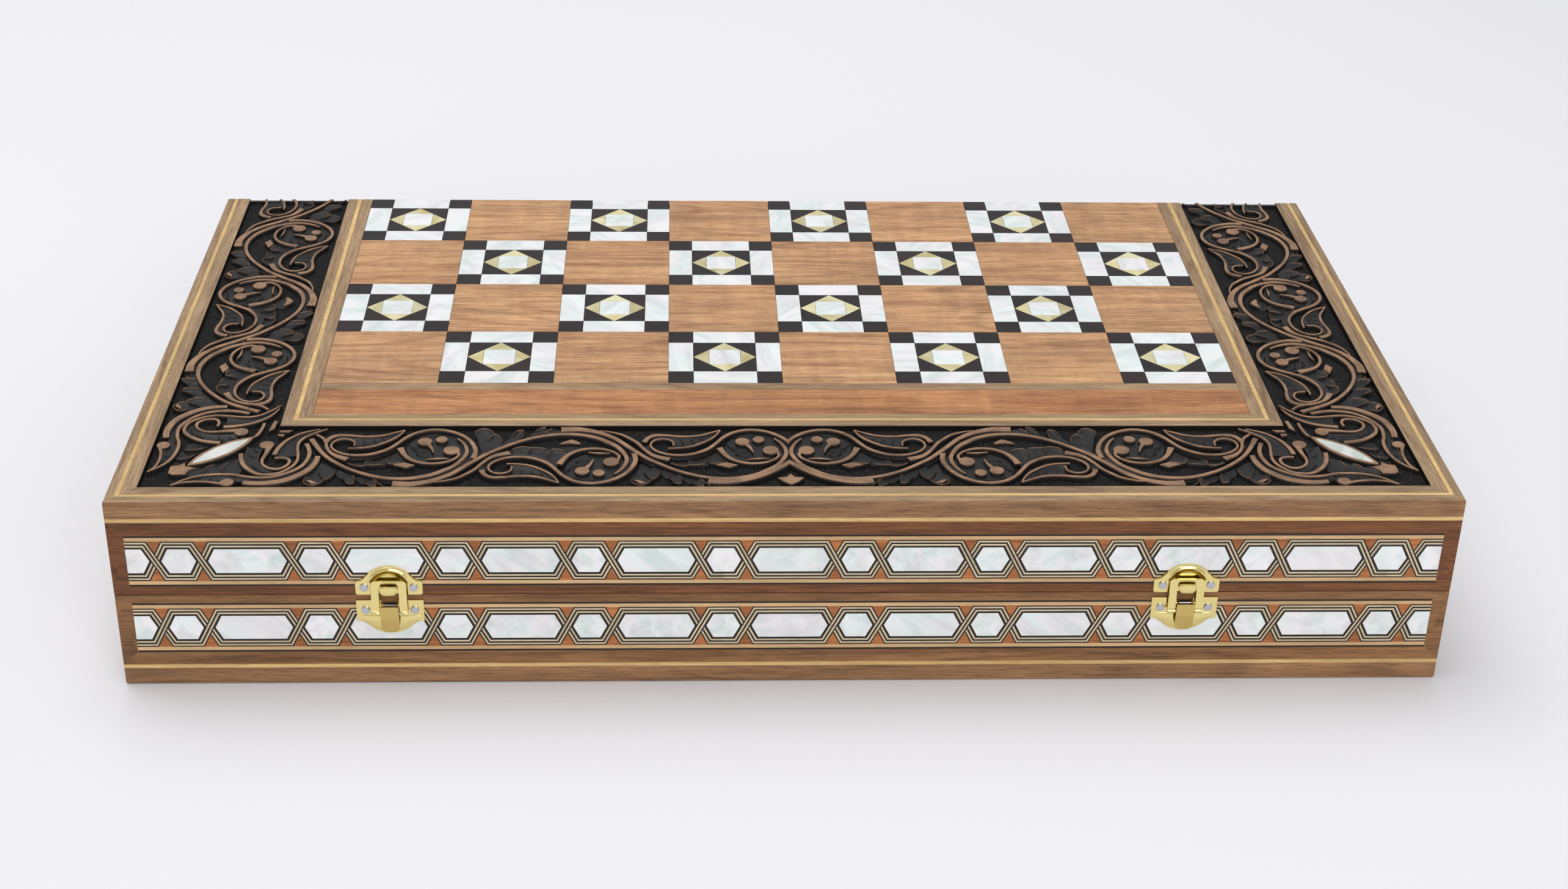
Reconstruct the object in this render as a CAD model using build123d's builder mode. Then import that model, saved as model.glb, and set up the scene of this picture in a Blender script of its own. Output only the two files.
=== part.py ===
from build123d import *
import os
from math import atan2, cos, degrees, hypot, sin

# A folding backgammon and chess case: two shallow walnut trays, hinged along the long back edge and
# held shut by two brass toggle latches in front. The outside of each tray carries half a chessboard
# inside a carved surround, the inside carries half a backgammon table.
# The case lies closed on its base, long side along X, latches towards -Y, origin under its middle.
# All sizes are in millimetres.

# Trays
half_height = 40.0
parting_gap = 0.4
rail_thickness = 12.0
panel_thickness = 7.4
face_veneer = 1.6
carved_thickness = 4.0

# Bands of the outer face, from the edge of the case inwards
lipping_width = 10.6
carved_width_front = 46.4
carved_width_side = 45.0
frame_width_front = 9.8
frame_width_side = 11.2
red_strip_width = 20.4
divider_width = 5.6

# Chess field: half a board on each tray
chess_square = 45.8
rows = 4
columns = 8
tile_corner = 10.1

# Lemonwood stringing
line_depth = 0.8
outer_line_inset = 3.6
outer_line_width = 1.5
inner_line_inset = 4.5
inner_line_width = 1.7
edge_line_height = 1.6
edge_line_depth = 3.0

# Pearl inlay in the carved corners
marquise_length = 31.0
marquise_width = 9.4
marquise_depth = 2.0
marquise_inward = 5.0

# Marquetry bands let into the front and the two short sides
band_height = 21.7
band_from_parting = 3.7
band_end_margin = 6.0
band_thickness = 0.8
motif_pitch = 50.0
long_pearl = 28.0
small_pearl = 12.0
pearl_height = 10.3
pearl_point = 2.6

# Backgammon table inside
table_thickness = 3.0
point_inlay = 0.8
point_length = 190.0
point_gap = 4.0
point_margin = 4.0
points_per_end = 6

# Butt hinges on the back edge
hinge_spacing = 300.0
leaf_length = 60.0
leaf_width = 9.0
leaf_thickness = 1.3
axis_offset = 0.25
knuckle_radius = 2.4
knuckle_gap = 0.2
barrel_relief = 0.35
hinge_pin_radius = 1.2
running_play = 0.05
screw_spacing = 20.0
screw_from_edge = 5.0
screw_head_radius = 2.2
screw_head_depth = 1.1
screw_shank_radius = 1.1
screw_length = 9.0

# Toggle latches: heights are from the parting plane, outs are from the front face
latch_spacing = 298.0
plate_width = 25.0
catch_thickness = 1.1
catch_pocket_depth = 0.6
catch_start = 0.4
catch_ear_height = 6.0
catch_arch_rise = 6.0
arch_half_width = 9.5
pocket_width = 14.2
pocket_height = 11.0
keeper_thickness = 0.8
keeper_start = 2.2
keeper_ear_height = 9.2
keeper_arc_drop = 5.2
keeper_window_start = 2.7
keeper_window_height = 2.9
sheet = 0.6
lever_pivot_drop = 4.0
lever_pivot_out = 1.5
bail_pivot_drop = 6.8
bail_pivot_out = 2.5
bail_width = 13.2
bail_window_width = 7.4
bail_window_length = 10.4
bail_bar = 3.2
bail_top_out = 1.85
eye_radius = 1.0
latch_pin_radius = 0.5
lever_width = 6.8
cheek_spread = 6.0
lug_play = 0.1
lug_thickness = 0.5
lug_radius = 0.8
lever_wall_out = 3.6
lever_bend_drop = 8.5
lever_tip_out = 2.6
lever_tip_drop = 15.0
lever_tip_radius = 2.4
cheek_radius = 0.95
pin_overhang = 0.3
lever_rise = 0.6
hook_width = 5.6
hook_slot = 1.35
hook_engage = 0.8
hook_bottom = 0.75
nail_head_radius = 1.6
nail_head_height = 0.55
nail_shank_radius = 0.7
nail_length = 9.0
nail_spacing = 18.2
catch_nail_height = 3.6
keeper_nail_drop = 6.4

# What follows from those sizes
case_length = 2 * (lipping_width + carved_width_side + frame_width_side) + columns * chess_square
case_depth = (lipping_width + carved_width_front + frame_width_front + red_strip_width
              + divider_width + rows * chess_square)
front_y = -case_depth / 2
back_y = case_depth / 2
rim_level = parting_gap / 2
panel_level = half_height - panel_thickness
line_level = panel_level - edge_line_height
carved_level = half_height - carved_thickness
veneer_level = half_height - face_veneer
table_level = panel_level - table_thickness
tile_middle = chess_square - 2 * tile_corner
diamond = tile_middle / 2
field_x = columns * chess_square / 2
field_y = back_y - rows * chess_square
hinge_y = back_y + axis_offset
knuckle_length = (leaf_length - 2 * knuckle_gap) / 3
bail_bar_bottom = bail_window_length - bail_pivot_drop

# Surrounds are U-shaped and run out at the hinge edge: half width in X, front Y, back Y
outline = (case_length / 2, front_y, back_y)
tray_inside = (case_length / 2 - rail_thickness, front_y + rail_thickness, back_y - rail_thickness)
lipping_inside = (case_length / 2 - lipping_width, front_y + lipping_width, back_y)
carved_inside = (
    lipping_inside[0] - carved_width_side,
    lipping_inside[1] + carved_width_front,
    back_y,
)
frame_inside = (field_x, carved_inside[1] + frame_width_front, back_y)

halves = ("base", "lid")
open_sides = ("front", "left", "right")
latch_sides = {"left": -latch_spacing / 2, "right": latch_spacing / 2}
wall_normals = {
    "front": Vector(0, -1, 0),
    "left": Vector(-1, 0, 0),
    "right": Vector(1, 0, 0),
    "back": Vector(0, 1, 0),
}
wall_reach = {
    "front": case_depth / 2,
    "left": case_length / 2,
    "right": case_length / 2,
    "back": case_depth / 2,
}
wall_length = {
    "front": case_length,
    "left": case_depth,
    "right": case_depth,
    "back": case_length,
}
parting = Vector(0, 0, half_height)


def face_plane(half, level):
    """Plane parallel to the outer face, at a level counted from the parting plane outwards."""
    if half == "lid":
        return Plane(origin=(0, 0, half_height + level))
    return Plane(origin=(0, 0, half_height - level), x_dir=(-1, 0, 0), z_dir=(0, 0, -1))


def wall_plane(half, side):
    """Plane on an outer wall, its Y running from the parting plane to this tray's outer face."""
    normal = wall_normals[side]
    up = Vector(0, 0, 1) if half == "lid" else Vector(0, 0, -1)
    return Plane(
        origin=parting + normal * wall_reach[side],
        x_dir=up.cross(normal),
        z_dir=normal,
    )


def latch_front(side, out=0.0):
    """Plane parallel to the front face at one latch, Y up, at a distance out from the face."""
    origin = Vector(latch_sides[side], front_y - out, half_height)
    return Plane(origin=origin, x_dir=(1, 0, 0), z_dir=(0, -1, 0))


def latch_profile(side):
    """Plane across one latch: its X runs out from the front face and its Y runs up."""
    origin = Vector(latch_sides[side], front_y, half_height)
    return Plane(origin=origin, x_dir=(0, -1, 0), z_dir=(-1, 0, 0))


def pivot_across(side, out, drop, shift=0.0):
    """Place on a latch pivot, its Z running along the pin, moved sideways by shift."""
    origin = (latch_sides[side] + shift, front_y - out, half_height - drop)
    return Location(origin, (0, 90, 0))


def local_side(half, side):
    """The side's name as the tray's own face plane sees it: the base is the lid turned over."""
    turned = {"left": "right", "right": "left"}
    return turned.get(side, side) if half == "base" else side


def mitred(half, side, outer, inner):
    """Corner points of one mitred side between two outlines."""
    ox, of, ob = outer
    ix, nf, nb = inner
    corners = {
        "front": [(-ox, of), (ox, of), (ix, nf), (-ix, nf)],
        "left": [(-ox, ob), (-ox, of), (-ix, nf), (-ix, nb)],
        "right": [(ox, of), (ox, ob), (ix, nb), (ix, nf)],
        "back": [(ox, ob), (-ox, ob), (-ix, nb), (ix, nb)],
    }
    return corners[local_side(half, side)]


def inset(outer, amount, back=0.0):
    """An outline drawn in from the front and the two sides, and from the back if asked."""
    return (outer[0] - amount, outer[1] + amount, outer[2] - back)


def block(half, side, outer, inner, low, high, mode=Mode.ADD):
    """One mitred strip between two levels, added to or cut from the open part."""
    with BuildSketch(face_plane(half, low)) as strip:
        Polygon(*mitred(half, side, outer, inner), align=None)
    extrude(strip.sketch, amount=high - low, mode=mode)


def slab(half, low, high, x_half, y_low, y_high, mode=Mode.ADD):
    """A rectangular board between two levels."""
    with BuildSketch(face_plane(half, low)) as board:
        with Locations((0, (y_low + y_high) / 2)):
            Rectangle(2 * x_half, y_high - y_low)
    extrude(board.sketch, amount=high - low, mode=mode)


def finish(part, name):
    part.label = name
    export_step(part, f"parts/{name}.step")


def finish_group(strips, name):
    """Write touching strips as one node in which each stays a solid of its own."""
    group = Compound([solid for strip in strips for solid in strip.solids()])
    finish(group, name)


os.makedirs("parts", exist_ok=True)


# Fixings: countersunk hinge screws and the nails of the latch plates

hinge_spots = [-hinge_spacing / 2, hinge_spacing / 2]
screw_spots = [
    (hinge + step * screw_spacing, back_y - screw_from_edge)
    for hinge in hinge_spots
    for step in (-1, 0, 1)
]


def screw_shape(play, mode):
    """Countersunk screw whose head starts on the working plane and points along its Z."""
    Cone(
        screw_head_radius + play,
        screw_shank_radius + play,
        screw_head_depth,
        align=(Align.CENTER, Align.CENTER, Align.MIN),
        mode=mode,
    )
    Cylinder(
        screw_shank_radius + play,
        screw_length + play,
        align=(Align.CENTER, Align.CENTER, Align.MIN),
        mode=mode,
    )


def screw_cuts(half):
    """Clearance for the screws, cut from a rim that starts at rim_level."""
    with Locations(face_plane(half, rim_level)):
        with Locations(*screw_spots):
            screw_shape(running_play, Mode.SUBTRACT)


def nail_spots(half):
    """Nail places on the front wall, seen from outside this tray with its own face up."""
    height = catch_nail_height if half == "lid" else keeper_nail_drop
    return [
        (latch + step * nail_spacing / 2, height)
        for latch in latch_sides.values()
        for step in (-1, 1)
    ]


def nail_cuts(half):
    """Clearance for the latch nails in whatever lies on the front wall."""
    with Locations(wall_plane(half, "front")):
        with Locations(*nail_spots(half)):
            Cylinder(
                nail_shank_radius + running_play,
                2 * (nail_length + running_play),
                mode=Mode.SUBTRACT,
            )


# Marquetry: hexagonal pearls with their points along the band

def hexagons(length):
    """Pearls of one band: long ones on every whole pitch, small ones halfway between."""
    count = int(length / motif_pitch) + 2
    for step in range(-count, count + 1):
        span = small_pearl if step % 2 else long_pearl
        with Locations((step * motif_pitch / 2, band_from_parting + band_height / 2)):
            Polygon(
                (-span / 2, 0),
                (-span / 2 + pearl_point, -pearl_height / 2),
                (span / 2 - pearl_point, -pearl_height / 2),
                (span / 2, 0),
                (span / 2 - pearl_point, pearl_height / 2),
                (-span / 2 + pearl_point, pearl_height / 2),
                align=None,
            )


def band_outline(side, mode=Mode.ADD):
    with Locations((0, band_from_parting + band_height / 2)):
        Rectangle(wall_length[side] - 2 * band_end_margin, band_height, mode=mode)


# Tray rails: four walnut boards, mitred at the corners

for half in halves:
    for side in wall_normals:
        with BuildPart() as rail:
            block(half, side, outline, tray_inside, rim_level, panel_level)
            line_inside = inset(outline, edge_line_depth, edge_line_depth)
            block(half, side, outline, line_inside, line_level, panel_level, Mode.SUBTRACT)
            if side != "back":
                with BuildSketch(wall_plane(half, side)):
                    band_outline(side)
                extrude(amount=-band_thickness, mode=Mode.SUBTRACT)
            if side == "front":
                nail_cuts(half)
            if side == "back":
                with BuildSketch(face_plane(half, rim_level)):
                    with Locations(*[(x, back_y - leaf_width / 2) for x in hinge_spots]):
                        Rectangle(leaf_length, leaf_width)
                extrude(amount=leaf_thickness, mode=Mode.SUBTRACT)
                with Locations(*[Location((x, hinge_y, half_height), (0, 90, 0)) for x in hinge_spots]):
                    Cylinder(
                        knuckle_radius + barrel_relief,
                        leaf_length + 2 * knuckle_gap,
                        mode=Mode.SUBTRACT,
                    )
                screw_cuts(half)
        finish(rail.part, f"{half}_{side}_rail")


# Outer face of each tray: core board, edge lipping, carved boards, inner frame, strips and stringing

for half in halves:
    with BuildPart() as core:
        slab(half, panel_level, carved_level, lipping_inside[0], lipping_inside[1], back_y)
        slab(half, carved_level, veneer_level, carved_inside[0], carved_inside[1], back_y)
    finish(core.part, f"{half}_core_board")


def surround(half, outer, inner, low, line_inset, line_width):
    """Three mitred strips up to the outer face, each with its stretch of the stringing groove."""
    strips = []
    groove_outer = inset(outer, line_inset)
    groove_inner = inset(groove_outer, line_width)
    for side in open_sides:
        with BuildPart() as strip:
            block(half, side, outer, inner, low, half_height)
            for groove in open_sides:
                block(half, groove, groove_outer, groove_inner, half_height - line_depth,
                      half_height, Mode.SUBTRACT)
        strips.append(strip.part)
    return strips


def lines(half, outer, inner, low, high, sides):
    """Stringing between two outlines, one mitred piece a side."""
    pieces = []
    for side in sides:
        with BuildPart() as line:
            block(half, side, outer, inner, low, high)
        pieces.append(line.part)
    return pieces


with BuildSketch() as pointed_oval:
    with BuildLine():
        ThreePointArc((-marquise_length / 2, 0), (0, -marquise_width / 2), (marquise_length / 2, 0))
        ThreePointArc((marquise_length / 2, 0), (0, marquise_width / 2), (-marquise_length / 2, 0))
    make_face()


def marquises(half, mode=Mode.ADD):
    """Pointed oval pearls, laid along the mitres of the carved surround."""
    across = lipping_inside[0] - carved_inside[0]
    along = carved_inside[1] - lipping_inside[1]
    from_outside = 0.5 + marquise_inward / hypot(across, along)
    with BuildSketch(face_plane(half, half_height - marquise_depth)) as ovals:
        for sign in (-1, 1):
            x_middle = sign * (lipping_inside[0] - from_outside * across)
            y_middle = lipping_inside[1] + from_outside * along
            turn = degrees(atan2(along, -sign * across))
            with Locations(Location((x_middle, y_middle, 0), (0, 0, turn))):
                add(pointed_oval.sketch)
    extrude(ovals.sketch, amount=marquise_depth, mode=mode)


for half in halves:
    for side in open_sides:
        with BuildPart() as carved:
            block(half, side, lipping_inside, carved_inside, carved_level, half_height)
            marquises(half, Mode.SUBTRACT)
        finish(carved.part, f"{half}_carved_{side}")

    finish_group(
        surround(half, outline, lipping_inside, panel_level, outer_line_inset, outer_line_width),
        f"{half}_edge_lipping",
    )

    with BuildPart() as divider:
        slab(half, veneer_level, half_height, field_x, field_y - divider_width, field_y)
    finish_group(
        surround(half, carved_inside, frame_inside, veneer_level, inner_line_inset, inner_line_width)
        + [divider.part],
        f"{half}_inner_frame",
    )

    with BuildPart() as red_strip:
        slab(half, veneer_level, half_height, field_x, frame_inside[1], field_y - divider_width)
    finish(red_strip.part, f"{half}_red_strip")

    outer_line = inset(outline, outer_line_inset)
    inner_line = inset(carved_inside, inner_line_inset)
    edge_line_inside = inset(outline, edge_line_depth, edge_line_depth)
    finish_group(
        lines(half, outer_line, inset(outer_line, outer_line_width), half_height - line_depth,
              half_height, open_sides)
        + lines(half, inner_line, inset(inner_line, inner_line_width), half_height - line_depth,
                half_height, open_sides)
        + lines(half, outline, edge_line_inside, line_level, panel_level, wall_normals),
        f"{half}_stringing",
    )


# Chessboard: plain wood squares and inlaid pearl tiles take turns

def square_centres(inlaid):
    """Centres of the squares of one kind, counted from the hinge edge and the local left side."""
    return [
        (
            -field_x + (column + 0.5) * chess_square,
            back_y - (row + 0.5) * chess_square,
        )
        for row in range(rows)
        for column in range(columns)
        if ((row + column) % 2 == 0) == inlaid
    ]


def corner_places():
    """Middles of the four dark corner squares of a tile."""
    reach = (chess_square - tile_corner) / 2
    return [(x * reach, y * reach) for x in (-1, 1) for y in (-1, 1)]


for half in halves:
    with BuildPart() as wood_squares:
        with BuildSketch(face_plane(half, veneer_level)):
            with Locations(*square_centres(False)):
                Rectangle(chess_square, chess_square)
        extrude(amount=face_veneer)
    finish(wood_squares.part, f"{half}_wood_squares")

    with BuildPart() as pearl_inlay:
        with BuildSketch(face_plane(half, veneer_level)):
            with Locations(*square_centres(True)):
                Rectangle(diamond, diamond)
                with PolarLocations((chess_square - tile_corner) / 2, 4):
                    Rectangle(tile_corner, tile_middle)
        extrude(amount=face_veneer)
        marquises(half)
    finish(pearl_inlay.part, f"{half}_pearl_inlay")

    with BuildPart() as ebony_inlay:
        with BuildSketch(face_plane(half, veneer_level)):
            with Locations(*square_centres(True)):
                with Locations(*corner_places()):
                    Rectangle(tile_corner, tile_corner)
                with PolarLocations(0, 4):
                    Polygon((diamond, diamond), (0, diamond), (diamond, 0), align=None)
        extrude(amount=face_veneer)
    finish(ebony_inlay.part, f"{half}_dark_inlay")

    with BuildPart() as yellow_inlay:
        with BuildSketch(face_plane(half, veneer_level)):
            with Locations(*square_centres(True)):
                with PolarLocations(0, 4):
                    Polygon(
                        (diamond, 0), (diamond / 2, diamond / 2), (diamond / 2, -diamond / 2), align=None
                    )
        extrude(amount=face_veneer)
    finish(yellow_inlay.part, f"{half}_yellow_inlay")


# Marquetry bands: a veneer ground with the pearls let through it

for half in halves:
    with BuildPart() as bands:
        for side in open_sides:
            with BuildSketch(wall_plane(half, side)) as ground:
                band_outline(side)
            extrude(ground.sketch, amount=-band_thickness)
            with BuildSketch(wall_plane(half, side)) as pearls:
                hexagons(wall_length[side])
                band_outline(side, Mode.INTERSECT)
            extrude(pearls.sketch, amount=-band_thickness, mode=Mode.SUBTRACT)
        nail_cuts(half)
    finish(bands.part, f"{half}_marquetry_bands")

    with BuildPart() as band_pearls:
        for side in open_sides:
            with BuildSketch(wall_plane(half, side)) as pearls:
                hexagons(wall_length[side])
                band_outline(side, Mode.INTERSECT)
            extrude(pearls.sketch, amount=-band_thickness)
    finish(band_pearls.part, f"{half}_band_pearls")


# Backgammon table inside each tray: twelve long points, six from each short end

table_x = tray_inside[0]
table_y = tray_inside[2]
point_pitch = 2 * (table_y - point_margin) / points_per_end


def points(half, shade, mode=Mode.ADD):
    """Inlaid points of one shade; the two ends start with opposite shades."""
    base_x = table_x - point_margin
    reach = (point_pitch - point_gap) / 2
    with BuildSketch(face_plane(half, table_level)) as inlay:
        for end in (-1, 1):
            for step in range(points_per_end):
                if (step % 2 == 0) == ((end == 1) == (shade == "dark")):
                    middle = -table_y + point_margin + (step + 0.5) * point_pitch
                    Polygon(
                        (end * base_x, middle - end * reach),
                        (end * base_x, middle + end * reach),
                        (end * (base_x - point_length), middle),
                        align=None,
                    )
    extrude(inlay.sketch, amount=point_inlay, mode=mode)


for half in halves:
    with BuildPart() as table:
        slab(half, table_level, panel_level, table_x, -table_y, table_y)
        points(half, "dark", Mode.SUBTRACT)
        points(half, "light", Mode.SUBTRACT)
    finish(table.part, f"{half}_playing_field")

    for shade in ("dark", "light"):
        with BuildPart() as inlaid_points:
            points(half, shade)
        finish(inlaid_points.part, f"{half}_{shade}_points")


# Hinges: leaves let into the rims, two knuckles on the base leaf and one between them on the lid leaf

def knuckle_spans(half):
    """Start of each knuckle of this leaf along the hinge, from its left end."""
    step = knuckle_length + knuckle_gap
    return [step] if half == "lid" else [0.0, 2 * step]


for half in halves:
    other = "base" if half == "lid" else "lid"
    with BuildPart() as leaves:
        with BuildSketch(face_plane(half, rim_level)):
            with Locations(*[(x, hinge_y - (leaf_width + axis_offset) / 2) for x in hinge_spots]):
                Rectangle(leaf_length, leaf_width + axis_offset)
        extrude(amount=leaf_thickness)
        for hinge in hinge_spots:
            for start in knuckle_spans(other):
                middle = hinge - leaf_length / 2 + start + knuckle_length / 2
                with Locations(Location((middle, hinge_y, half_height), (0, 90, 0))):
                    Cylinder(
                        knuckle_radius + barrel_relief,
                        knuckle_length + 2 * knuckle_gap,
                        mode=Mode.SUBTRACT,
                    )
            for start in knuckle_spans(half):
                middle = hinge - leaf_length / 2 + start + knuckle_length / 2
                with Locations(Location((middle, hinge_y, half_height), (0, 90, 0))):
                    Cylinder(knuckle_radius, knuckle_length)
            with Locations(Location((hinge, hinge_y, half_height), (0, 90, 0))):
                Cylinder(hinge_pin_radius + running_play, leaf_length, mode=Mode.SUBTRACT)
        screw_cuts(half)
    finish(leaves.part, f"{half}_hinge_leaves")

    with BuildPart(face_plane(half, rim_level)) as screws:
        with Locations(*screw_spots):
            screw_shape(0.0, Mode.ADD)
    finish(screws.part, f"{half}_hinge_screws")

with BuildPart() as hinge_pins:
    with Locations(*[Location((hinge, hinge_y, half_height), (0, 90, 0)) for hinge in hinge_spots]):
        Cylinder(hinge_pin_radius, leaf_length)
finish(hinge_pins.part, "hinge_pins")


# Latch plates, nailed on: the catch plate with its hook on the lid, the keeper plate on the base

hook_inner = bail_top_out + sheet / 2 + hook_slot
hook_tip = bail_bar_bottom + hook_engage


def shield(width, start, ear, arc_rise):
    """Plate outline with square ears and an arched edge, growing along the plane's Y."""
    half_width = width / 2
    with BuildLine() as edge:
        Polyline(
            (-arch_half_width, start + ear),
            (-half_width, start + ear),
            (-half_width, start),
            (half_width, start),
            (half_width, start + ear),
            (arch_half_width, start + ear),
        )
        ThreePointArc(
            (arch_half_width, start + ear),
            (0, start + ear + arc_rise),
            (-arch_half_width, start + ear),
        )
    make_face(edge.edges())


for side in latch_sides:
    with BuildPart() as catch:
        with BuildSketch(latch_front(side)):
            shield(plate_width, catch_start, catch_ear_height, catch_arch_rise)
        extrude(amount=catch_thickness)
        with BuildSketch(latch_front(side, catch_thickness)):
            pocket_straight = pocket_height - pocket_width / 2
            with Locations((0, catch_start + pocket_straight / 2)):
                Rectangle(pocket_width, pocket_straight)
            with Locations((0, catch_start + pocket_straight)):
                Circle(pocket_width / 2)
            with Locations((0, catch_start - pocket_width / 2)):
                Rectangle(2 * pocket_width, pocket_width, mode=Mode.SUBTRACT)
        extrude(amount=-catch_pocket_depth, mode=Mode.SUBTRACT)
        with BuildSketch(latch_profile(side)):
            with BuildLine() as hook_line:
                root = (catch_thickness - catch_pocket_depth - sheet / 2, hook_bottom + 4 * sheet)
                low_in = (root[0] + 2 * sheet, hook_bottom + 2 * sheet)
                low_out = (hook_inner + sheet / 2, hook_bottom + 2 * sheet)
                Line(root, low_in)
                ThreePointArc(low_in, ((low_in[0] + low_out[0]) / 2, hook_bottom + sheet / 2), low_out)
                Line(low_out, (low_out[0], hook_tip))
            trace(hook_line.line, line_width=sheet)
        extrude(amount=hook_width / 2, both=True)
        with Locations(latch_front(side)):
            with Locations((-nail_spacing / 2, catch_nail_height), (nail_spacing / 2, catch_nail_height)):
                Cylinder(nail_shank_radius + running_play, 4 * catch_thickness, mode=Mode.SUBTRACT)
    finish(catch.part, f"{side}_latch_catch")

    with BuildPart() as keeper:
        with BuildSketch(latch_front(side)):
            shield(plate_width, keeper_start, keeper_ear_height, keeper_arc_drop)
            mirror(about=Plane.XZ, mode=Mode.REPLACE)
            with Locations((0, -keeper_start - keeper_window_start + keeper_window_height / 2)):
                Rectangle(cheek_spread + 2 * lug_play, keeper_window_height, mode=Mode.SUBTRACT)
        extrude(amount=keeper_thickness)
        for sign in (-1, 1):
            with BuildSketch(latch_profile(side).offset(sign * (cheek_spread / 2 + lug_play))):
                with Locations((lever_pivot_out, -lever_pivot_drop)):
                    Circle(lug_radius)
                with Locations((lever_pivot_out / 2, -lever_pivot_drop)):
                    Rectangle(lever_pivot_out, 2 * lug_radius)
            extrude(amount=sign * lug_thickness)
        with Locations(latch_front(side)):
            with Locations((-nail_spacing / 2, -keeper_nail_drop), (nail_spacing / 2, -keeper_nail_drop)):
                Cylinder(nail_shank_radius + running_play, 4 * keeper_thickness, mode=Mode.SUBTRACT)
        with Locations(pivot_across(side, lever_pivot_out, lever_pivot_drop)):
            Cylinder(latch_pin_radius + running_play, plate_width, mode=Mode.SUBTRACT)
    finish(keeper.part, f"{side}_latch_keeper")

for half in halves:
    plate = catch_thickness if half == "lid" else keeper_thickness
    with BuildPart(wall_plane(half, "front")) as nails:
        with Locations(*[(x, y, plate) for x, y in nail_spots(half)]):
            Cylinder(nail_head_radius, nail_head_height, align=(Align.CENTER, Align.CENTER, Align.MIN))
            Cylinder(
                nail_shank_radius, nail_length + plate, align=(Align.CENTER, Align.CENTER, Align.MAX)
            )
        fillet(nails.edges().group_by(Axis.Y)[0], nail_head_height / 2)
    finish(nails.part, f"{half}_latch_nails")


# Latch levers: a channel of folded sheet that turns on a pin through the keeper's lugs

for side in latch_sides:
    with BuildPart() as lever:
        with BuildSketch(latch_profile(side)):
            with BuildLine() as wall_line:
                Polyline(
                    (lever_wall_out, lever_rise - lever_pivot_drop),
                    (lever_wall_out, -lever_bend_drop),
                    (lever_tip_out, -lever_tip_drop),
                )
            trace(wall_line.line, line_width=sheet)
        extrude(amount=lever_width / 2, both=True)
        with BuildSketch(latch_front(side)) as tongue:
            with Locations((0, -lever_tip_drop)):
                Rectangle(lever_width, lever_tip_drop, align=(Align.CENTER, Align.MIN))
            fillet(tongue.vertices().group_by(Axis.Y)[0], lever_tip_radius)
        extrude(amount=2 * lever_wall_out, mode=Mode.INTERSECT)
        for sign in (-1, 1):
            with BuildSketch(latch_profile(side).offset(sign * cheek_spread / 2)):
                for out, drop in (
                    (lever_pivot_out, lever_pivot_drop),
                    (bail_pivot_out, bail_pivot_drop),
                ):
                    with Locations((out, -drop)):
                        Circle(cheek_radius)
                for drop in (lever_pivot_drop, lever_bend_drop):
                    with Locations((lever_wall_out, -drop)):
                        Circle(sheet / 2)
                make_hull()
            extrude(amount=-sign * sheet)
        for out, drop in ((lever_pivot_out, lever_pivot_drop), (bail_pivot_out, bail_pivot_drop)):
            with Locations(pivot_across(side, out, drop)):
                Cylinder(latch_pin_radius + running_play, lever_width, mode=Mode.SUBTRACT)
    finish(lever.part, f"{side}_latch_lever")

with BuildPart() as lever_pins:
    for side in latch_sides:
        with Locations(pivot_across(side, lever_pivot_out, lever_pivot_drop)):
            Cylinder(latch_pin_radius, cheek_spread + 2 * (lug_play + lug_thickness))
finish(lever_pins.part, "latch_lever_pins")


# Bails: a sheet loop with two eyes on a pin through the lever; its bar sits behind the hook

for side in latch_sides:
    with BuildPart() as bail_pin:
        with Locations(pivot_across(side, bail_pivot_out, bail_pivot_drop)):
            Cylinder(latch_pin_radius, bail_width + 2 * pin_overhang)
    finish(bail_pin.part, f"{side}_latch_bail_pin")

    lean = atan2(bail_pivot_out - bail_top_out, bail_window_length + bail_bar / 2)
    bail_plane = Plane(
        origin=(latch_sides[side], front_y - bail_pivot_out, half_height - bail_pivot_drop),
        x_dir=(1, 0, 0),
        z_dir=(0, -cos(lean), sin(lean)),
    )
    eye_length = (bail_width - bail_window_width) / 2
    with BuildPart() as bail:
        with BuildSketch(bail_plane) as loop:
            Rectangle(bail_width, bail_window_length + bail_bar, align=(Align.CENTER, Align.MIN))
            fillet(loop.vertices().group_by(Axis.Y)[-1], bail_bar / 2)
            Rectangle(
                bail_window_width,
                bail_window_length,
                align=(Align.CENTER, Align.MIN),
                mode=Mode.SUBTRACT,
            )
        extrude(amount=sheet / 2, both=True)
        for sign in (-1, 1):
            middle = sign * (bail_window_width + eye_length) / 2
            with Locations(pivot_across(side, bail_pivot_out, bail_pivot_drop, middle)):
                Cylinder(eye_radius, eye_length)
        with Locations(pivot_across(side, bail_pivot_out, bail_pivot_drop)):
            Cylinder(latch_pin_radius + running_play, plate_width, mode=Mode.SUBTRACT)
    finish(bail.part, f"{side}_latch_bail")
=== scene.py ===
from math import ceil, cos, pi, radians, sin

import bmesh
import bpy
import numpy as np
from mathutils import Matrix, Vector


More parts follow.
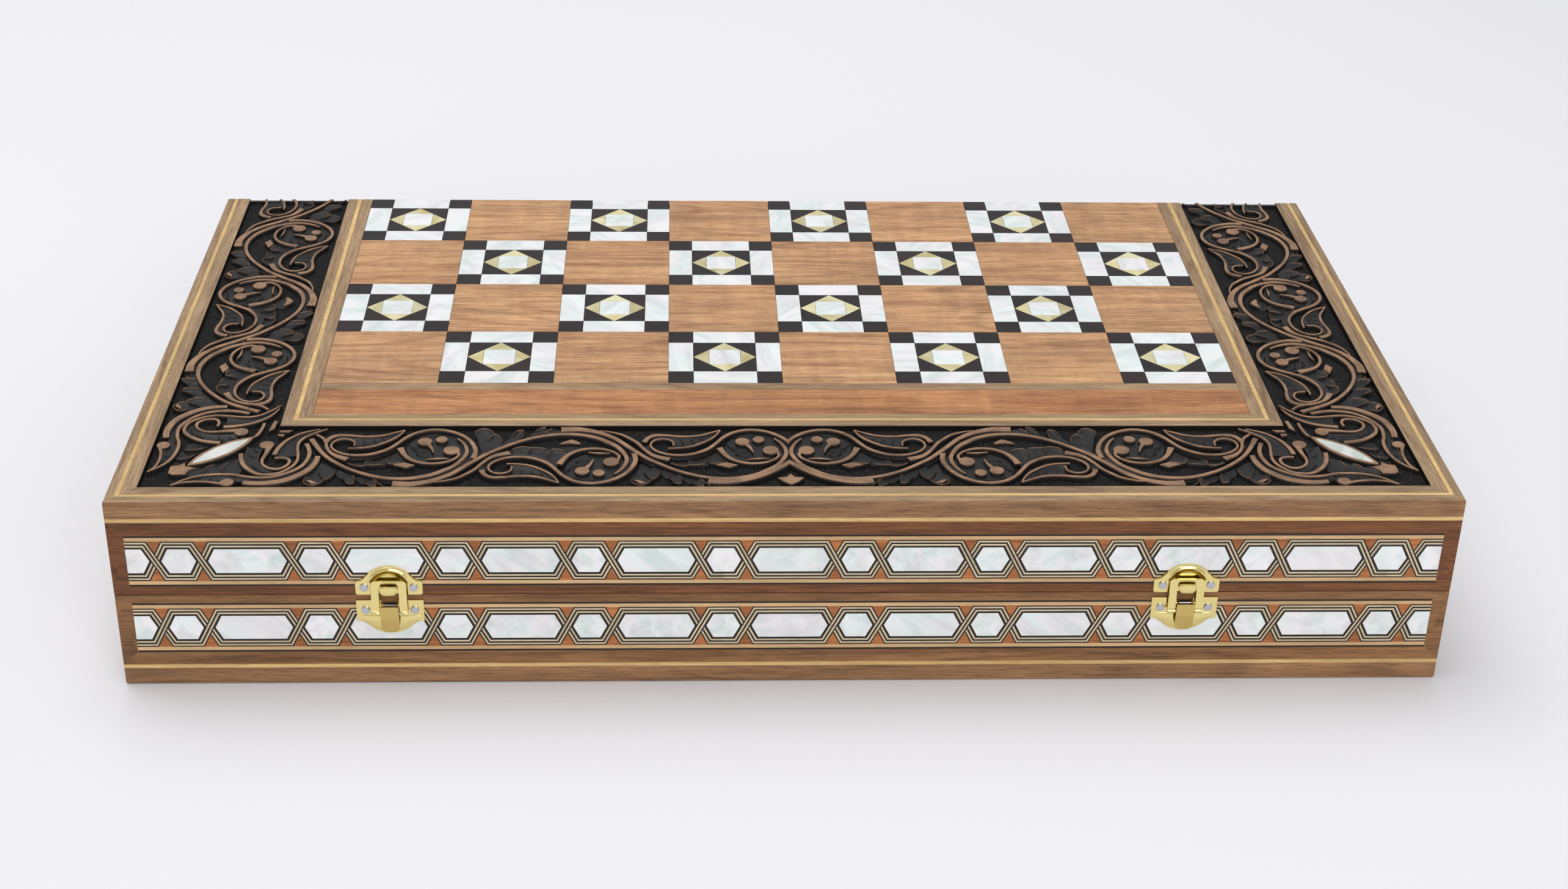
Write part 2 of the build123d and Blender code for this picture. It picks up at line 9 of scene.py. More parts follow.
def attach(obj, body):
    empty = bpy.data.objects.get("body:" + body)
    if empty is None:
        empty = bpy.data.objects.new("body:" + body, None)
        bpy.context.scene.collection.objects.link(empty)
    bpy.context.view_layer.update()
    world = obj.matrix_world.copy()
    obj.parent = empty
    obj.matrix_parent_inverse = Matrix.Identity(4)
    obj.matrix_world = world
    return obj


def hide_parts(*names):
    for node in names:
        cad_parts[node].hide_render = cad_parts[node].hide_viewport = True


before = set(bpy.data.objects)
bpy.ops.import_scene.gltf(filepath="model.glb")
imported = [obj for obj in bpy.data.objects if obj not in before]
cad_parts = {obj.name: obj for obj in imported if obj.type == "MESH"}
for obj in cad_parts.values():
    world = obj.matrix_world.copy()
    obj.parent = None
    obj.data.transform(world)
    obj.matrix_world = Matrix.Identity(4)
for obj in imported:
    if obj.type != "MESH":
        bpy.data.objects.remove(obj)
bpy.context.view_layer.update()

# Backgammon case: two walnut trays of 500 x 276 x 40 mm, hinged at the back. Every size below is in
# millimetres, in the case's own frame: X to the right, Y to the back, Z up from the table.


# The table, the daylight and the camera
# A pale cloth under soft window light from above and behind the camera; the camera stands where the
# photograph was taken from, a little left of the case's middle.

def linear(colour):
    """An sRGB hex colour as the linear RGBA that a shader takes."""
    levels = [int(colour[i : i + 2], 16) / 255 for i in (1, 3, 5)]
    return (*[v / 12.92 if v <= 0.04045 else ((v + 0.055) / 1.055) ** 2.4 for v in levels], 1.0)


def add(tree, kind, inputs, **settings):
    """One shader node with its settings; an input is a value or the socket that feeds it."""
    made = tree.nodes.new(kind)
    for name, value in settings.items():
        setattr(made, name, value)
    for name, value in inputs.items():
        if isinstance(value, bpy.types.NodeSocket):
            tree.links.new(value, made.inputs[name])
        else:
            made.inputs[name].default_value = value
    return made


def start_material(name):
    """An empty material, its node tree and the place on the case, in metres."""
    material = bpy.data.materials.new(name)
    material.use_nodes = True
    tree = material.node_tree
    tree.nodes.clear()
    return material, tree, add(tree, "ShaderNodeTexCoord", {}).outputs["Object"]


def noise(tree, place, scale, detail, roughness=0.5, distortion=0.0):
    return add(tree, "ShaderNodeTexNoise", {"Vector": place, "Scale": scale, "Detail": detail,
                                            "Roughness": roughness, "Distortion": distortion}).outputs["Fac"]


def stretched(tree, place, sizes):
    """Places for a noise whose forms have these sizes in millimetres along X, Y and Z."""
    return add(tree, "ShaderNodeVectorMath", {0: place, 1: tuple(1000 / size for size in sizes)},
               operation="MULTIPLY").outputs[0]


def between(tree, value, low, high, to_low=0.0, to_high=1.0):
    """A value moved from one range to another and held inside it."""
    return add(tree, "ShaderNodeMapRange", {"Value": value, "From Min": low, "From Max": high,
                                            "To Min": to_low, "To Max": to_high}).outputs[0]


def maths(tree, operation, *values):
    return add(tree, "ShaderNodeMath", dict(enumerate(values)), operation=operation).outputs[0]


def blend(tree, share, first, second):
    """A mix of two colours, each a hex colour or the socket that gives it."""
    first, second = (linear(c) if isinstance(c, str) else c for c in (first, second))
    return add(tree, "ShaderNodeMix", {0: share, 6: first, 7: second}, data_type="RGBA").outputs[2]


def lit(tree, colour, light):
    """A colour made lighter or darker."""
    return add(tree, "ShaderNodeVectorMath", {0: colour, "Scale": light}, operation="SCALE").outputs[0]


def bump(tree, height, strength, distance):
    return add(tree, "ShaderNodeBump", {"Height": height, "Strength": strength,
                                        "Distance": distance}).outputs[0]


def surface(tree, inputs):
    """The shader that ends a material."""
    shader = add(tree, "ShaderNodeBsdfPrincipled", inputs)
    tree.links.new(shader.outputs[0], tree.nodes.new("ShaderNodeOutputMaterial").inputs["Surface"])


table_mesh = bpy.data.meshes.new("table_top")
table_mesh.from_pydata([(-6, -6, 0), (6, -6, 0), (6, 8, 0), (-6, 8, 0)], [], [(0, 1, 2, 3)])
table = bpy.data.objects.new("table_top", table_mesh)
bpy.context.scene.collection.objects.link(table)
cloth, tree, cloth_place = start_material("white cloth")
cloth_tone = blend(tree, noise(tree, cloth_place, 1.2, 2.0), "#ebeaed", "#f2f1f3")
surface(tree, {"Base Color": cloth_tone, "Roughness": 0.95})
table_mesh.materials.append(cloth)

sky = bpy.data.worlds.new("daylight")
sky.use_nodes = True
bpy.context.scene.world = sky
sky.node_tree.nodes["Background"].inputs["Color"].default_value = linear("#f2f4f8")
sky.node_tree.nodes["Background"].inputs["Strength"].default_value = 0.6


def window(name, place, aim, size, power):
    """A square lamp as soft as a window, turned towards a point of the case."""
    lamp = bpy.data.lights.new(name, "AREA")
    lamp.size, lamp.energy = size, power
    holder = bpy.data.objects.new(name, lamp)
    holder.location = place
    holder.rotation_euler = (Vector(aim) - Vector(place)).to_track_quat("-Z", "Y").to_euler()
    bpy.context.scene.collection.objects.link(holder)


window("window_above", (-0.5, 0.5, 2.2), (0.0, 0.0, 0.04), 1.8, 25.0)
window("window_in_front", (0.6, -2.4, 1.5), (0.0, 0.0, 0.04), 1.6, 23.0)

camera_place = (-42.13, -885.16, 520.06)
camera_turn, camera_dip, camera_roll = 0.0513, 0.508, 0.0245
camera = bpy.data.objects.new("camera", bpy.data.cameras.new("camera"))
camera.data.lens, camera.data.sensor_width = 54.46, 36.0
camera.data.clip_start = 0.01
camera.matrix_world = (
    Matrix.Translation(Vector(camera_place) / 1000)
    @ Matrix.Rotation(-camera_turn, 4, "Z")
    @ Matrix.Rotation(pi / 2 - camera_dip, 4, "X")
    @ Matrix.Rotation(camera_roll, 4, "Z")
)
bpy.context.scene.collection.objects.link(camera)
bpy.context.scene.camera = camera
bpy.context.scene.view_settings.view_transform = "Standard"


# The tray rails
# Boards of walnut, planed and lacquered, mitred at the corners. The lacquer is satin, so the eye sees
# long dark streaks of the growth rings and short open pores under a soft sheen.

case_half = Vector((250.0, 138.0))
case_height = 80.0


def wood(name, early, late, along, ring=4.5, streak=0.5, figure=0.0, roughness=0.5, spread=0.12, shift=7.0):
    """A planed board. along is the axis its grain runs with, ring the spacing of its growth lines in
    mm, streak how strongly they show, figure how strongly waves cross the grain, spread how far one
    piece differs from the next, and shift how far apart in the trunk, in metres, pieces were cut."""
    material, tree, place = start_material(name)
    piece = add(tree, "ShaderNodeNewGeometry", {}).outputs["Random Per Island"]
    moved = add(tree, "ShaderNodeVectorMath", {0: place, 1: maths(tree, "MULTIPLY", piece, shift)},
                operation="ADD").outputs[0]

    def grain(width, length, detail, distortion=0.0, harshness=0.5):
        sizes = [width] * 3
        sizes[along] = length
        return noise(tree, stretched(tree, moved, sizes), 1.0, detail, harshness, distortion)

    # growth lines are the contours of a slow drift through the trunk
    drift = 55.0
    contours = maths(tree, "MULTIPLY", grain(drift, 420.0, 2.0), 2 * pi * drift / (0.55 * ring))
    lines = between(tree, maths(tree, "SINE", contours), 0.35, 1.0)
    fibres = between(tree, grain(0.7, 16.0, 4.0, 0.0, 0.65), 0.38, 0.62)
    bands = between(tree, grain(4.5, 130.0, 7.0, 0.3, 0.66), 0.4, 0.6)
    dark = add(tree, "ShaderNodeMix", {0: 0.6, 2: lines, 3: bands})
    fine = add(tree, "ShaderNodeMix", {0: 0.42, 2: dark.outputs[0], 3: fibres})
    tone = blend(tree, maths(tree, "MULTIPLY", fine.outputs[0], streak), early, late)
    waves = between(tree, grain(30.0, 6.5, 2.0, 0.7), 0.35, 0.65, 1 - figure, 1 + figure)
    own = between(tree, piece, 0.0, 1.0, 1 - spread, 1 + spread * 0.6)
    # open pores are short dark dashes, and the lacquer has taken unevenly in soft patches
    pores = between(tree, grain(0.4, 7.0, 2.0, 0.0, 0.6), 0.5, 0.68, 1.04, 1 - 0.35 * streak)
    patches = between(tree, grain(22.0, 60.0, 3.0, 0.5), 0.35, 0.65, 0.88, 1.1)
    own_light = maths(tree, "MULTIPLY", waves, own)
    light = maths(tree, "MULTIPLY", maths(tree, "MULTIPLY", pores, patches), own_light)
    surface(tree, {"Base Color": lit(tree, tone, light), "Roughness": roughness, "Specular IOR Level": 0.3,
                   "Normal": bump(tree, fibres, 0.3, 0.00004)})
    return material


def both_ways(name, early, late, **settings):
    """The same wood for pieces along X and for pieces along Y."""
    return [wood(f"{name} along {axis}", early, late, along, **settings)
            for along, axis in enumerate("XY")]


rail_walnut = {
    "lid": both_ways("red walnut", "#875431", "#3d2414", streak=0.85),
    "base": both_ways("brown walnut", "#a0734a", "#553620", streak=0.85),
}


def finish_node(name, material):
    """Give a CAD piece its finish."""
    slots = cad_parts[name].data.materials
    slots.clear()
    slots.append(material)


for half in ("base", "lid"):
    for side, along in (("front", 0), ("back", 0), ("left", 1), ("right", 1)):
        finish_node(f"{half}_{side}_rail", rail_walnut[half][along])


# The core boards and the edge lipping
# A frame of walnut glued round the lid board, mitred, its outer edge eased by a plane. Its top is paler and
# greyer than its edge, partly dust on the bare wood, partly painted sheen. A fine groove holds the yellow
# line. The base is the lid turned over, so both get the same pieces.

core_walnut = wood("core walnut", "#6e5140", "#4e382b", 0)
# The tops take walnut that is paler and greyer: partly dust on the bare wood, partly painted sheen.
walnut_dusty_with_painted_sheen = both_ways("walnut, dusty with painted sheen", "#b89975", "#6d5138", ring=4.0, streak=0.85)
# The outer edge takes a darker, warmer copy of the walnut: partly the oil on it, partly painted shade on the
# faces turned from the light above.
walnut_edge_oiled_and_painted_shade = wood("walnut edge, oiled and with painted shade", "#ab8059", "#66472f", 0, ring=4.0, streak=0.9)
walnut_edge_oiled_and_painted_shade_across = wood("walnut edge, oiled and with painted shade along Y", "#ab8059", "#66472f", 1, ring=4.0, streak=0.9)
# The walls that face the carving are near black: partly stain run over from the blackened carving, partly
# painted shade in the recess.
walnut_edge_stained_and_painted_shade = wood("walnut edge, stained and with painted shade", "#1d1714", "#120f0e", 0, streak=0.4)
lipping_woods = [*walnut_dusty_with_painted_sheen, walnut_edge_stained_and_painted_shade, walnut_edge_oiled_and_painted_shade, walnut_edge_oiled_and_painted_shade_across]
for half in ("base", "lid"):
    finish_node(f"{half}_core_board", core_walnut)

turned_over = {
    "lid": Matrix.Identity(4),
    "base": Matrix.Translation((0, 0, 0.08)) @ Matrix.Rotation(pi, 4, "Y"),
}


def build(name, verts, faces, marks, materials):
    """A mesh from points in millimetres; marks gives the material of each face."""
    mesh = bpy.data.meshes.new(name)
    mesh.from_pydata([Vector(v) / 1000 for v in verts], [], faces)
    for material in materials:
        mesh.materials.append(material)
    mesh.polygons.foreach_set("material_index", marks)
    mesh.update()
    return mesh


def fit(mesh, half, slot, *nodes, body=None):
    """Put a finished piece on its tray, in place of the CAD nodes."""
    mesh.transform(turned_over[half])
    piece = bpy.data.objects.new(mesh.name, mesh)
    bpy.context.scene.collection.objects.link(piece)
    if nodes:
        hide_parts(*nodes)
    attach(piece, body or half)


def surround(name, corner, profile, materials, edges):
    """Three mitred strips round the front and both sides. The profile runs from the outside in as
    (inset from the sides, inset from the front, height); edges gives the materials of the stretches
    that aren't the plain top, for the front strip and for the side strips."""
    verts, faces, marks = [], [], []
    runs = {
        "front": [(-1, -1), (1, -1)],
        "left": [(-1, 1), (-1, -1)],
        "right": [(1, -1), (1, 1)],
    }
    for side, ends in runs.items():
        first = len(verts)
        for x_side, y_end in ends:
            for x_inset, y_inset, height in profile:
                y = case_half.y if y_end == 1 else corner[1] + y_inset
                verts.append((x_side * (corner[0] - x_inset), y, height))
        count = len(profile)
        for i in range(count - 1):
            a, b = first + i, first + count + i
            faces.append((a, b, b + 1, a + 1))
            marks.append(edges.get(i, (0, 1))[side != "front"])
        faces.append(tuple(range(first, first + count)))
        faces.append(tuple(range(first + 2 * count - 1, first + count - 1, -1)))
        marks += [1] * 2
    return build(name, verts, faces, marks, materials)


lipping_corner = (250.0, -138.0)
for half in ("base", "lid"):
    lipping = surround(
        f"{half}_lipping",
        lipping_corner,
        [(0.0, 0.0, 72.6), (0.0, 0.0, 79.1), (0.25, 0.25, 79.7), (0.9, 0.9, 80.0), (3.55, 3.55, 80.0),
         (3.6, 3.6, 79.2), (5.1, 5.1, 79.2), (5.15, 5.15, 80.0), (10.4, 10.4, 80.0), (10.5, 10.5, 79.9),
         (10.5, 10.5, 72.6)],
        lipping_woods,
        # outer edge: oiled walnut with painted shade; inner edge: stained walnut with painted shade
        {0: (3, 4), 1: (3, 4), 8: (2, 2), 9: (2, 2)},
    )
    fit(lipping, half, "walnut", f"{half}_edge_lipping")


# The inner frame, its divider and the red strip
# Flat walnut strips 1.6 mm thick between the carving and the chessboard, with a fine yellow line,
# and in front of the board a wider strip of reddish wood. All are glued down with thin dark joints.

frame_corner = (194.4, -81.0)
joint = 0.06
field_half, field_front = 183.2, -45.2
divider_front, strip_front = -50.8, -71.2
bed, face = 78.4, 80.0


def shrunk(points, amount):
    """A convex outline, counter-clockwise, with every side moved in by the same amount."""
    moved = []
    count = len(points)
    for i in range(count):
        before, here, after = (Vector(points[(i + k) % count]) for k in (-1, 0, 1))
        left = (here - before).normalized()
        right = (after - here).normalized()
        normal_in = Vector((-left.y, left.x)) + Vector((-right.y, right.x))
        moved.append(tuple(here + normal_in * amount / (1 + left.dot(right))))
    return moved


class Inlay:
    """Flat pieces let in side by side; each keeps an eased upper edge and its own material."""

    def __init__(self):
        self.verts, self.faces, self.marks = [], [], []

    def lay(self, outline, low=bed, high=face, mark=0, ease=0.05):
        """One piece from low up to high: mark is the number of its material, ease the width that its
        upper edge is eased by."""
        count = len(outline)
        first = len(self.verts)
        inner = shrunk(outline, ease)
        for level, ring in ((low, outline), (high - ease, outline), (high, inner)):
            self.verts += [(x, y, level) for x, y in ring]
        for ring in (0, 1):
            for i in range(count):
                a, b = first + ring * count + i, first + ring * count + (i + 1) % count
                self.faces.append((a, b, b + count, a + count))
        self.faces.append(tuple(range(first + 2 * count, first + 3 * count)))
        self.marks += [mark] * (2 * count + 1)

    def mesh(self, name, materials):
        return build(name, self.verts, self.faces, self.marks, materials)


def rectangle(x_low, y_low, x_high, y_high):
    return [(x_low, y_low), (x_high, y_low), (x_high, y_high), (x_low, y_high)]


for half in ("base", "lid"):
    inner_frame = surround(
        f"{half}_inner_frame",
        frame_corner,
        [(-0.03, -0.03, 77.9), (-0.03, -0.03, 79.9), (0.2, 0.2, 80.0), (4.45, 4.45, 80.0), (4.5, 4.5, 79.2),
         (6.2, 6.2, 79.2), (6.25, 6.25, 80.0), (11.1, 9.7, 80.0), (11.15, 9.75, 78.4)],
        lipping_woods,
        # the wall beside the carving takes the stained walnut with painted shade
        {0: (2, 2), 1: (2, 2)},
    )
    fit(inner_frame, half, "walnut", f"{half}_inner_frame")
    divider = Inlay()
    divider.lay(shrunk(rectangle(-field_half, divider_front, field_half, field_front), joint))
    fit(divider.mesh(f"{half}_divider", walnut_dusty_with_painted_sheen[:1]), half, "walnut")

red_wood = wood("reddish wood", "#cb9160", "#783f20", 0, ring=4.0, streak=0.85, figure=0.07)
for half in ("base", "lid"):
    strip = Inlay()
    strip.lay(shrunk(rectangle(-field_half, strip_front, field_half, divider_front), joint))
    fit(strip.mesh(f"{half}_red_strip_board", [red_wood]), half, "red_wood", f"{half}_red_strip")


# The yellow lines
# Stringing of lemonwood, 1.5 to 1.7 mm wide, let into fine grooves and scraped flush.

lemonwood = wood("lemonwood", "#e4c183", "#bb9050", 0, ring=2.0, streak=0.6)
for half in ("base", "lid"):
    finish_node(f"{half}_stringing", lemonwood)


# The chessboard
# Half a chessboard of 45.8 mm squares: figured reddish walnut takes turns with tiles of white pearl
# shell, yellow shell and dark brown wood, ground flush and polished.

square = 45.8
corner_square = 10.1
tile_half = square / 2 - corner_square
board_left, board_back = -field_half, 138.0


def pearl(name, pale, deep, tints, spread, glow=0.35):
    """Polished shell: soft streaks of pale layers, tinted pink and green, that differ from piece to
    piece as each was cut from another place of the shell."""
    material, tree, place = start_material(name)
    piece = add(tree, "ShaderNodeNewGeometry", {}).outputs["Random Per Island"]
    turned_place = add(tree, "ShaderNodeVectorRotate", {
        "Vector": place, "Axis": (0.3, 0.4, 1.0), "Angle": maths(tree, "MULTIPLY", piece, 19.0),
    }, rotation_type="AXIS_ANGLE").outputs[0]

    def layers(width, length, detail, bend):
        return noise(tree, stretched(tree, turned_place, (length, width, width)), 1.0, detail, 0.5, bend)

    body = blend(tree, between(tree, layers(6.0, 30.0, 3.0, 0.7), 0.4, 0.72), pale, deep)
    tint = blend(tree, between(tree, layers(9.0, 22.0, 1.0, 0.6), 0.4, 0.6), *tints)
    shaded = lit(tree, blend(tree, glow, body, tint), between(tree, piece, 0.0, 1.0, 1 - spread, 1.0))
    surface(tree, {"Base Color": shaded, "Roughness": 0.25, "IOR": 1.6})
    return material


white_pearl = pearl("white mother-of-pearl", "#fafaf8", "#d0d8d5", ("#f7ebf1", "#def3ee"), 0.07)
yellow_pearl = pearl("yellow mother-of-pearl", "#efe8b8", "#cdb568", ("#f2ecc4", "#d9c47e"), 0.3)
board_wood = wood("figured walnut", "#dbab7c", "#7c4a2a", 0, ring=5.0, streak=0.85, figure=0.07, spread=0.06)
dark_wood = wood("dark polished wood", "#0a0809", "#351a14", 0, ring=9.0, streak=0.8, roughness=0.35,
                 spread=0.5, shift=90.0)

# one quarter of a tile, from the tile's middle
corner_half = corner_square / 2
outer = tile_half + corner_half
white_halves = (corner_half, tile_half)
dark_triangle = [(tile_half, tile_half), (0, tile_half), (tile_half, 0)]
yellow_triangle = [(tile_half, 0), (tile_half / 2, tile_half / 2), (tile_half / 2, -tile_half / 2)]


def cell(x, y, x_half, y_half):
    """A rectangle round a point, smaller by the joint left round it."""
    return shrunk(rectangle(x - x_half, y - y_half, x + x_half, y + y_half), joint)


for half in ("base", "lid"):
    plain, white, dark, yellow = Inlay(), Inlay(), Inlay(), Inlay()
    for row in range(4):
        for column in range(8):
            cx = board_left + (column + 0.5) * square
            cy = board_back - (row + 0.5) * square
            if (row + column) % 2:
                plain.lay(cell(cx, cy, square / 2, square / 2))
                continue
            for cosine, sine in ((1, 0), (0, 1), (-1, 0), (0, -1)):

                def turned(x, y):
                    return (cx + cosine * x - sine * y, cy + sine * x + cosine * y)

                white.lay(cell(*turned(outer, 0), *(white_halves[::-1] if sine else white_halves)))
                dark.lay(cell(*turned(outer, outer), corner_half, corner_half))
                for inlay, triangle in ((dark, dark_triangle), (yellow, yellow_triangle)):
                    inlay.lay(shrunk([turned(*point) for point in triangle], joint))
            white.lay(cell(cx, cy, tile_half / 2, tile_half / 2))
    fit(plain.mesh(f"{half}_board_squares", [board_wood]), half, "figured_wood", f"{half}_wood_squares")
    fit(white.mesh(f"{half}_tile_pearls", [white_pearl]), half, "white_pearl", f"{half}_pearl_inlay")
    fit(dark.mesh(f"{half}_tile_darks", [dark_wood]), half, "dark_inlay", f"{half}_dark_inlay")
    fit(yellow.mesh(f"{half}_tile_yellows", [yellow_pearl]), half, "yellow_pearl", f"{half}_yellow_inlay")


# The carved boards
# Walnut 4 mm thick, carved by hand with a winding scroll of leaves and berries. Each board was
# blackened and then sanded, so the flat tops are bare brown wood and the cuts keep their black stain.

carve_corner = Vector((-239.4, -127.4))
front_width, side_width = 46.4, 45.0
unit_length, first_unit = 60.3, 58.1
board_floor, ground, crest = 76.0, 78.0, 80.0

# Each profile across a cut or a ridge goes from one edge of it, 0, to the other, 1.
ridge = [(-0.2, ground), (-0.09, 79.4), (0.0, crest), (1.0, crest), (1.09, 79.4), (1.2, ground)]
low_ridge = [(-0.7, 78.4), (0.1, 79.2), (0.5, 79.35), (0.8, 79.2), (1.4, 78.4)]
groove = [(0.0, ground), (0.0, 79.5), (0.25, 78.9), (0.5, 78.75), (0.75, 78.9), (1.0, 79.5), (1.0, ground)]
hollow = [(0.0, ground), (0.0, 79.6), (0.12, 79.1), (0.35, 78.85), (0.65, 78.8), (0.88, 79.1), (1.0, 79.6),
          (1.0, ground)]

# One unit of the scroll, seen from above: places along the board and out from its outer edge. The
# numbers before them are widths, spread along the line from its start to its end.
vine_end = [(32.4, 6.5), (37.6, 6.2), (42.8, 7.0), (48.0, 9.1), (52.1, 12.3), (55.8, 15.9), (58.4, 20.7),
            (59.7, 24.9), (59.4, 29.1), (57.8, 33.4), (55.5, 36.8)]
vine = ((3.4, 2.6, 1.9, 1.7, 1.6, 1.4, 1.3, 1.3, 1.4, 1.7, 1.9, 1.6, 1.4, 0.6),
        [(-26.1, 43.9), (-20.1, 44.2), (-14.9, 42.9), (-10.3, 40.7), (-5.6, 37.1), (-2.6, 33.6), (0.4, 29.6),
         (3.8, 25.4), (7.4, 21.2), (11.6, 17.5), (16.8, 13.3), (22.0, 10.1), (27.2, 7.8), *vine_end])
leaf_stem = ((0.4, 1.0, 1.2, 1.3, 2.4), [(-11.3, 42.8), (-7.6, 42.0), (-3.0, 39.9), (0.1, 37.0), (3.2, 33.4),
                                         (5.8, 28.6), (8.4, 24.6), (11.2, 22.4), (15.6, 20.6)])
first_vine = ((1.9, 1.5, 1.3, 1.3, 1.4, 1.7, 1.9, 1.6, 1.4, 0.6),
              [(0.3, 36.4), (2.6, 31.6), (5.4, 26.2), (8.6, 21.6), (12.3, 17.7), (16.8, 13.8), (22.0, 10.4),
               (27.2, 7.9), *vine_end])
first_stem = ((0.8, 1.1, 1.2, 2.4), [(1.7, 39.9), (4.4, 37.2), (6.0, 33.9), (6.9, 29.7), (8.7, 26.0),
                                     (11.4, 23.2), (15.6, 20.8)])
last_root = ((3.0, 2.8, 2.4, 1.8), [(30.0, 4.6), (34.2, 3.9), (38.6, 4.3), (43.8, 5.7), (49.0, 8.2),
                                    (53.2, 11.2), (56.8, 14.4), (61.5, 19.4)])
unit_ridges = [
    ((0.7, 0.8, 1.0, 1.3, 1.3, 1.3, 1.4, 1.9),
     [(17.0, 31.0), (16.8, 33.9), (15.2, 35.7), (12.6, 36.4), (9.7, 35.2), (8.4, 32.6), (8.7, 29.7),
      (10.8, 26.8), (14.2, 24.7), (17.8, 23.9), (22.0, 24.1), (26.1, 25.7), (30.3, 28.9), (33.4, 33.4),
      (36.0, 37.6), (39.6, 41.3), (43.8, 43.3), (48.0, 43.6), (52.6, 42.3), (56.8, 39.4), (59.9, 35.7),
      (62.0, 31.2), (63.0, 26.5), (62.5, 21.5)]),
    ((1.9, 1.4, 1.1, 1.0, 0.9, 0.5), [(5.8, 33.9), (7.4, 37.3), (10.0, 39.2), (14.2, 39.2), (18.8, 38.4),
                                      (23.5, 38.4), (27.7, 39.4), (31.3, 41.3), (34.9, 43.3)]),
    ((0.5, 0.9, 0.8, 0.6), [(34.9, 43.3), (33.4, 39.7), (31.3, 36.5), (28.2, 33.6), (24.0, 30.7),
                            (19.4, 29.4), (14.9, 29.1)]),
    ((2.3, 1.6, 1.2, 1.1, 0.9, 1.2), [(34.5, 29.4), (36.5, 24.4), (39.1, 20.7), (42.8, 18.3), (46.9, 17.5),
                                      (51.1, 18.1), (54.7, 20.2), (56.8, 23.3), (56.4, 26.4)]),
    ((2.0, 1.2, 0.3), [(43.7, 34.2), (46.1, 29.7), (47.2, 26.0)]),
    ((0.2, 0.9, 0.2), [(45.1, 20.4), (49.0, 21.1), (53.4, 21.2)]),
]
unit_scratches = [
    ((0.2, 0.8, 0.2), [(40.2, 38.9), (43.8, 40.2), (48.5, 40.7)]),
    ((0.3, 0.9, 0.3), [(38.8, 30.4), (41.2, 28.6), (44.2, 28.4)]),
    ((0.3, 0.9, 0.3), [(40.6, 26.4), (43.0, 24.9), (45.6, 25.2)]),
    ((0.3, 0.8, 0.3), [(37.6, 33.4), (38.6, 31.4), (40.8, 31.0)]),
    ((0.3, 0.7, 0.3), [(19.5, 37.2), (20.6, 34.6), (20.2, 32.4)]),
    ((0.3, 0.7, 0.3), [(23.4, 37.2), (24.6, 35.0), (24.2, 33.0)]),
    ((0.3, 0.7, 0.3), [(27.0, 37.8), (28.2, 36.4), (28.2, 35.0)]),
]
unit_grooves = [
    ((3.0, 3.0), [(29.2, 5.9), (33.4, 4.7), (41.2, 4.7), (46.4, 6.0), (51.6, 8.9), (55.8, 12.6), (59.4, 17.0),
                  (62.5, 20.9), (66.2, 25.1), (69.8, 29.3)]),
    ((2.4, 2.4), [(56.8, 37.4), (59.9, 33.2), (61.2, 28.6), (61.2, 24.4), (60.4, 19.6)]),
    ((3.4, 3.0), [(6.4, 33.0), (7.4, 29.1), (10.0, 25.6), (13.6, 23.3), (18.8, 22.3), (24.0, 23.2),
                  (28.4, 25.8), (33.0, 30.7)]),
]
leaf_edges = ([(8.6, 35.4), (10.0, 38.0), (14.2, 38.9), (18.8, 38.2), (23.5, 38.2), (27.7, 39.2),
               (31.3, 41.0), (34.3, 42.6)],
              [(9.6, 35.0), (12.6, 36.2), (16.4, 34.0), (17.6, 29.8), (21.4, 30.0), (26.2, 32.2),
               (30.6, 36.0), (34.1, 42.0)])

# Round forms: first the low eye of the scroll, with its corners and its level, then the berries.
unit_rounds = [((48.6, 31.2), 12.0, 48, 78.6), ((43.3, 34.4), 2.8), ((49.5, 36.0), 2.3), ((53.9, 27.6), 3.1)]

# Scales lie over each other like roof tiles: an outline, and the way its raised tip points.
unit_scales = [
    ([(5.1, 19.1), (4.8, 14.4), (8.2, 10.1), (8.7, 4.9), (5.3, 1.4), (1.7, 3.3), (1.4, 5.9), (2.7, 10.1)],
     (-0.1, -1)),
    ([(5.3, 20.2), (11.8, 15.4), (12.2, 12.3), (11.6, 8.6), (9.7, 6.2), (8.2, 6.7), (6.6, 10.1), (4.8, 14.9)],
     (0.5, -1)),
    ([(12.3, 14.9), (17.8, 11.2), (19.9, 8.0), (20.1, 4.9), (19.9, 2.9), (17.5, 3.0), (15.7, 6.5),
      (12.6, 10.7)], (0.7, -0.9)),
    ([(20.4, 10.1), (26.1, 7.8), (28.2, 4.3), (28.2, 0.6), (26.1, 1.2), (23.0, 4.3), (20.4, 7.0)],
     (0.9, -0.7)),
    ([(28.2, 7.0), (33.4, 5.4), (34.4, 0.8), (31.3, 1.2), (28.7, 3.3)], (-1, -0.4)),
    ([(18.0, 22.2), (24.6, 23.1), (26.1, 21.8), (23.0, 16.5), (19.4, 15.9), (15.6, 18.6)], (-0.3, -1)),
    ([(23.0, 20.7), (26.1, 23.1), (30.3, 26.0), (31.0, 22.3), (30.5, 17.5), (28.2, 16.9), (22.7, 16.6)],
     (-0.5, -1)),
    ([(30.3, 24.9), (33.4, 28.9), (35.5, 24.4), (38.0, 20.9), (34.9, 18.1), (31.1, 17.7), (29.9, 21.8)],
     (-0.3, -1)),
]
budded_scale = ([(34.7, 17.8), (38.6, 19.1), (42.2, 16.7), (42.1, 13.3), (38.6, 10.6), (35.5, 12.4),
                 (33.7, 14.4)], (0.1, -1))
bud = [(33.9, 14.2), (35.5, 12.4), (38.6, 10.6), (42.1, 13.3), (41.8, 14.2), (37.8, 13.6)]
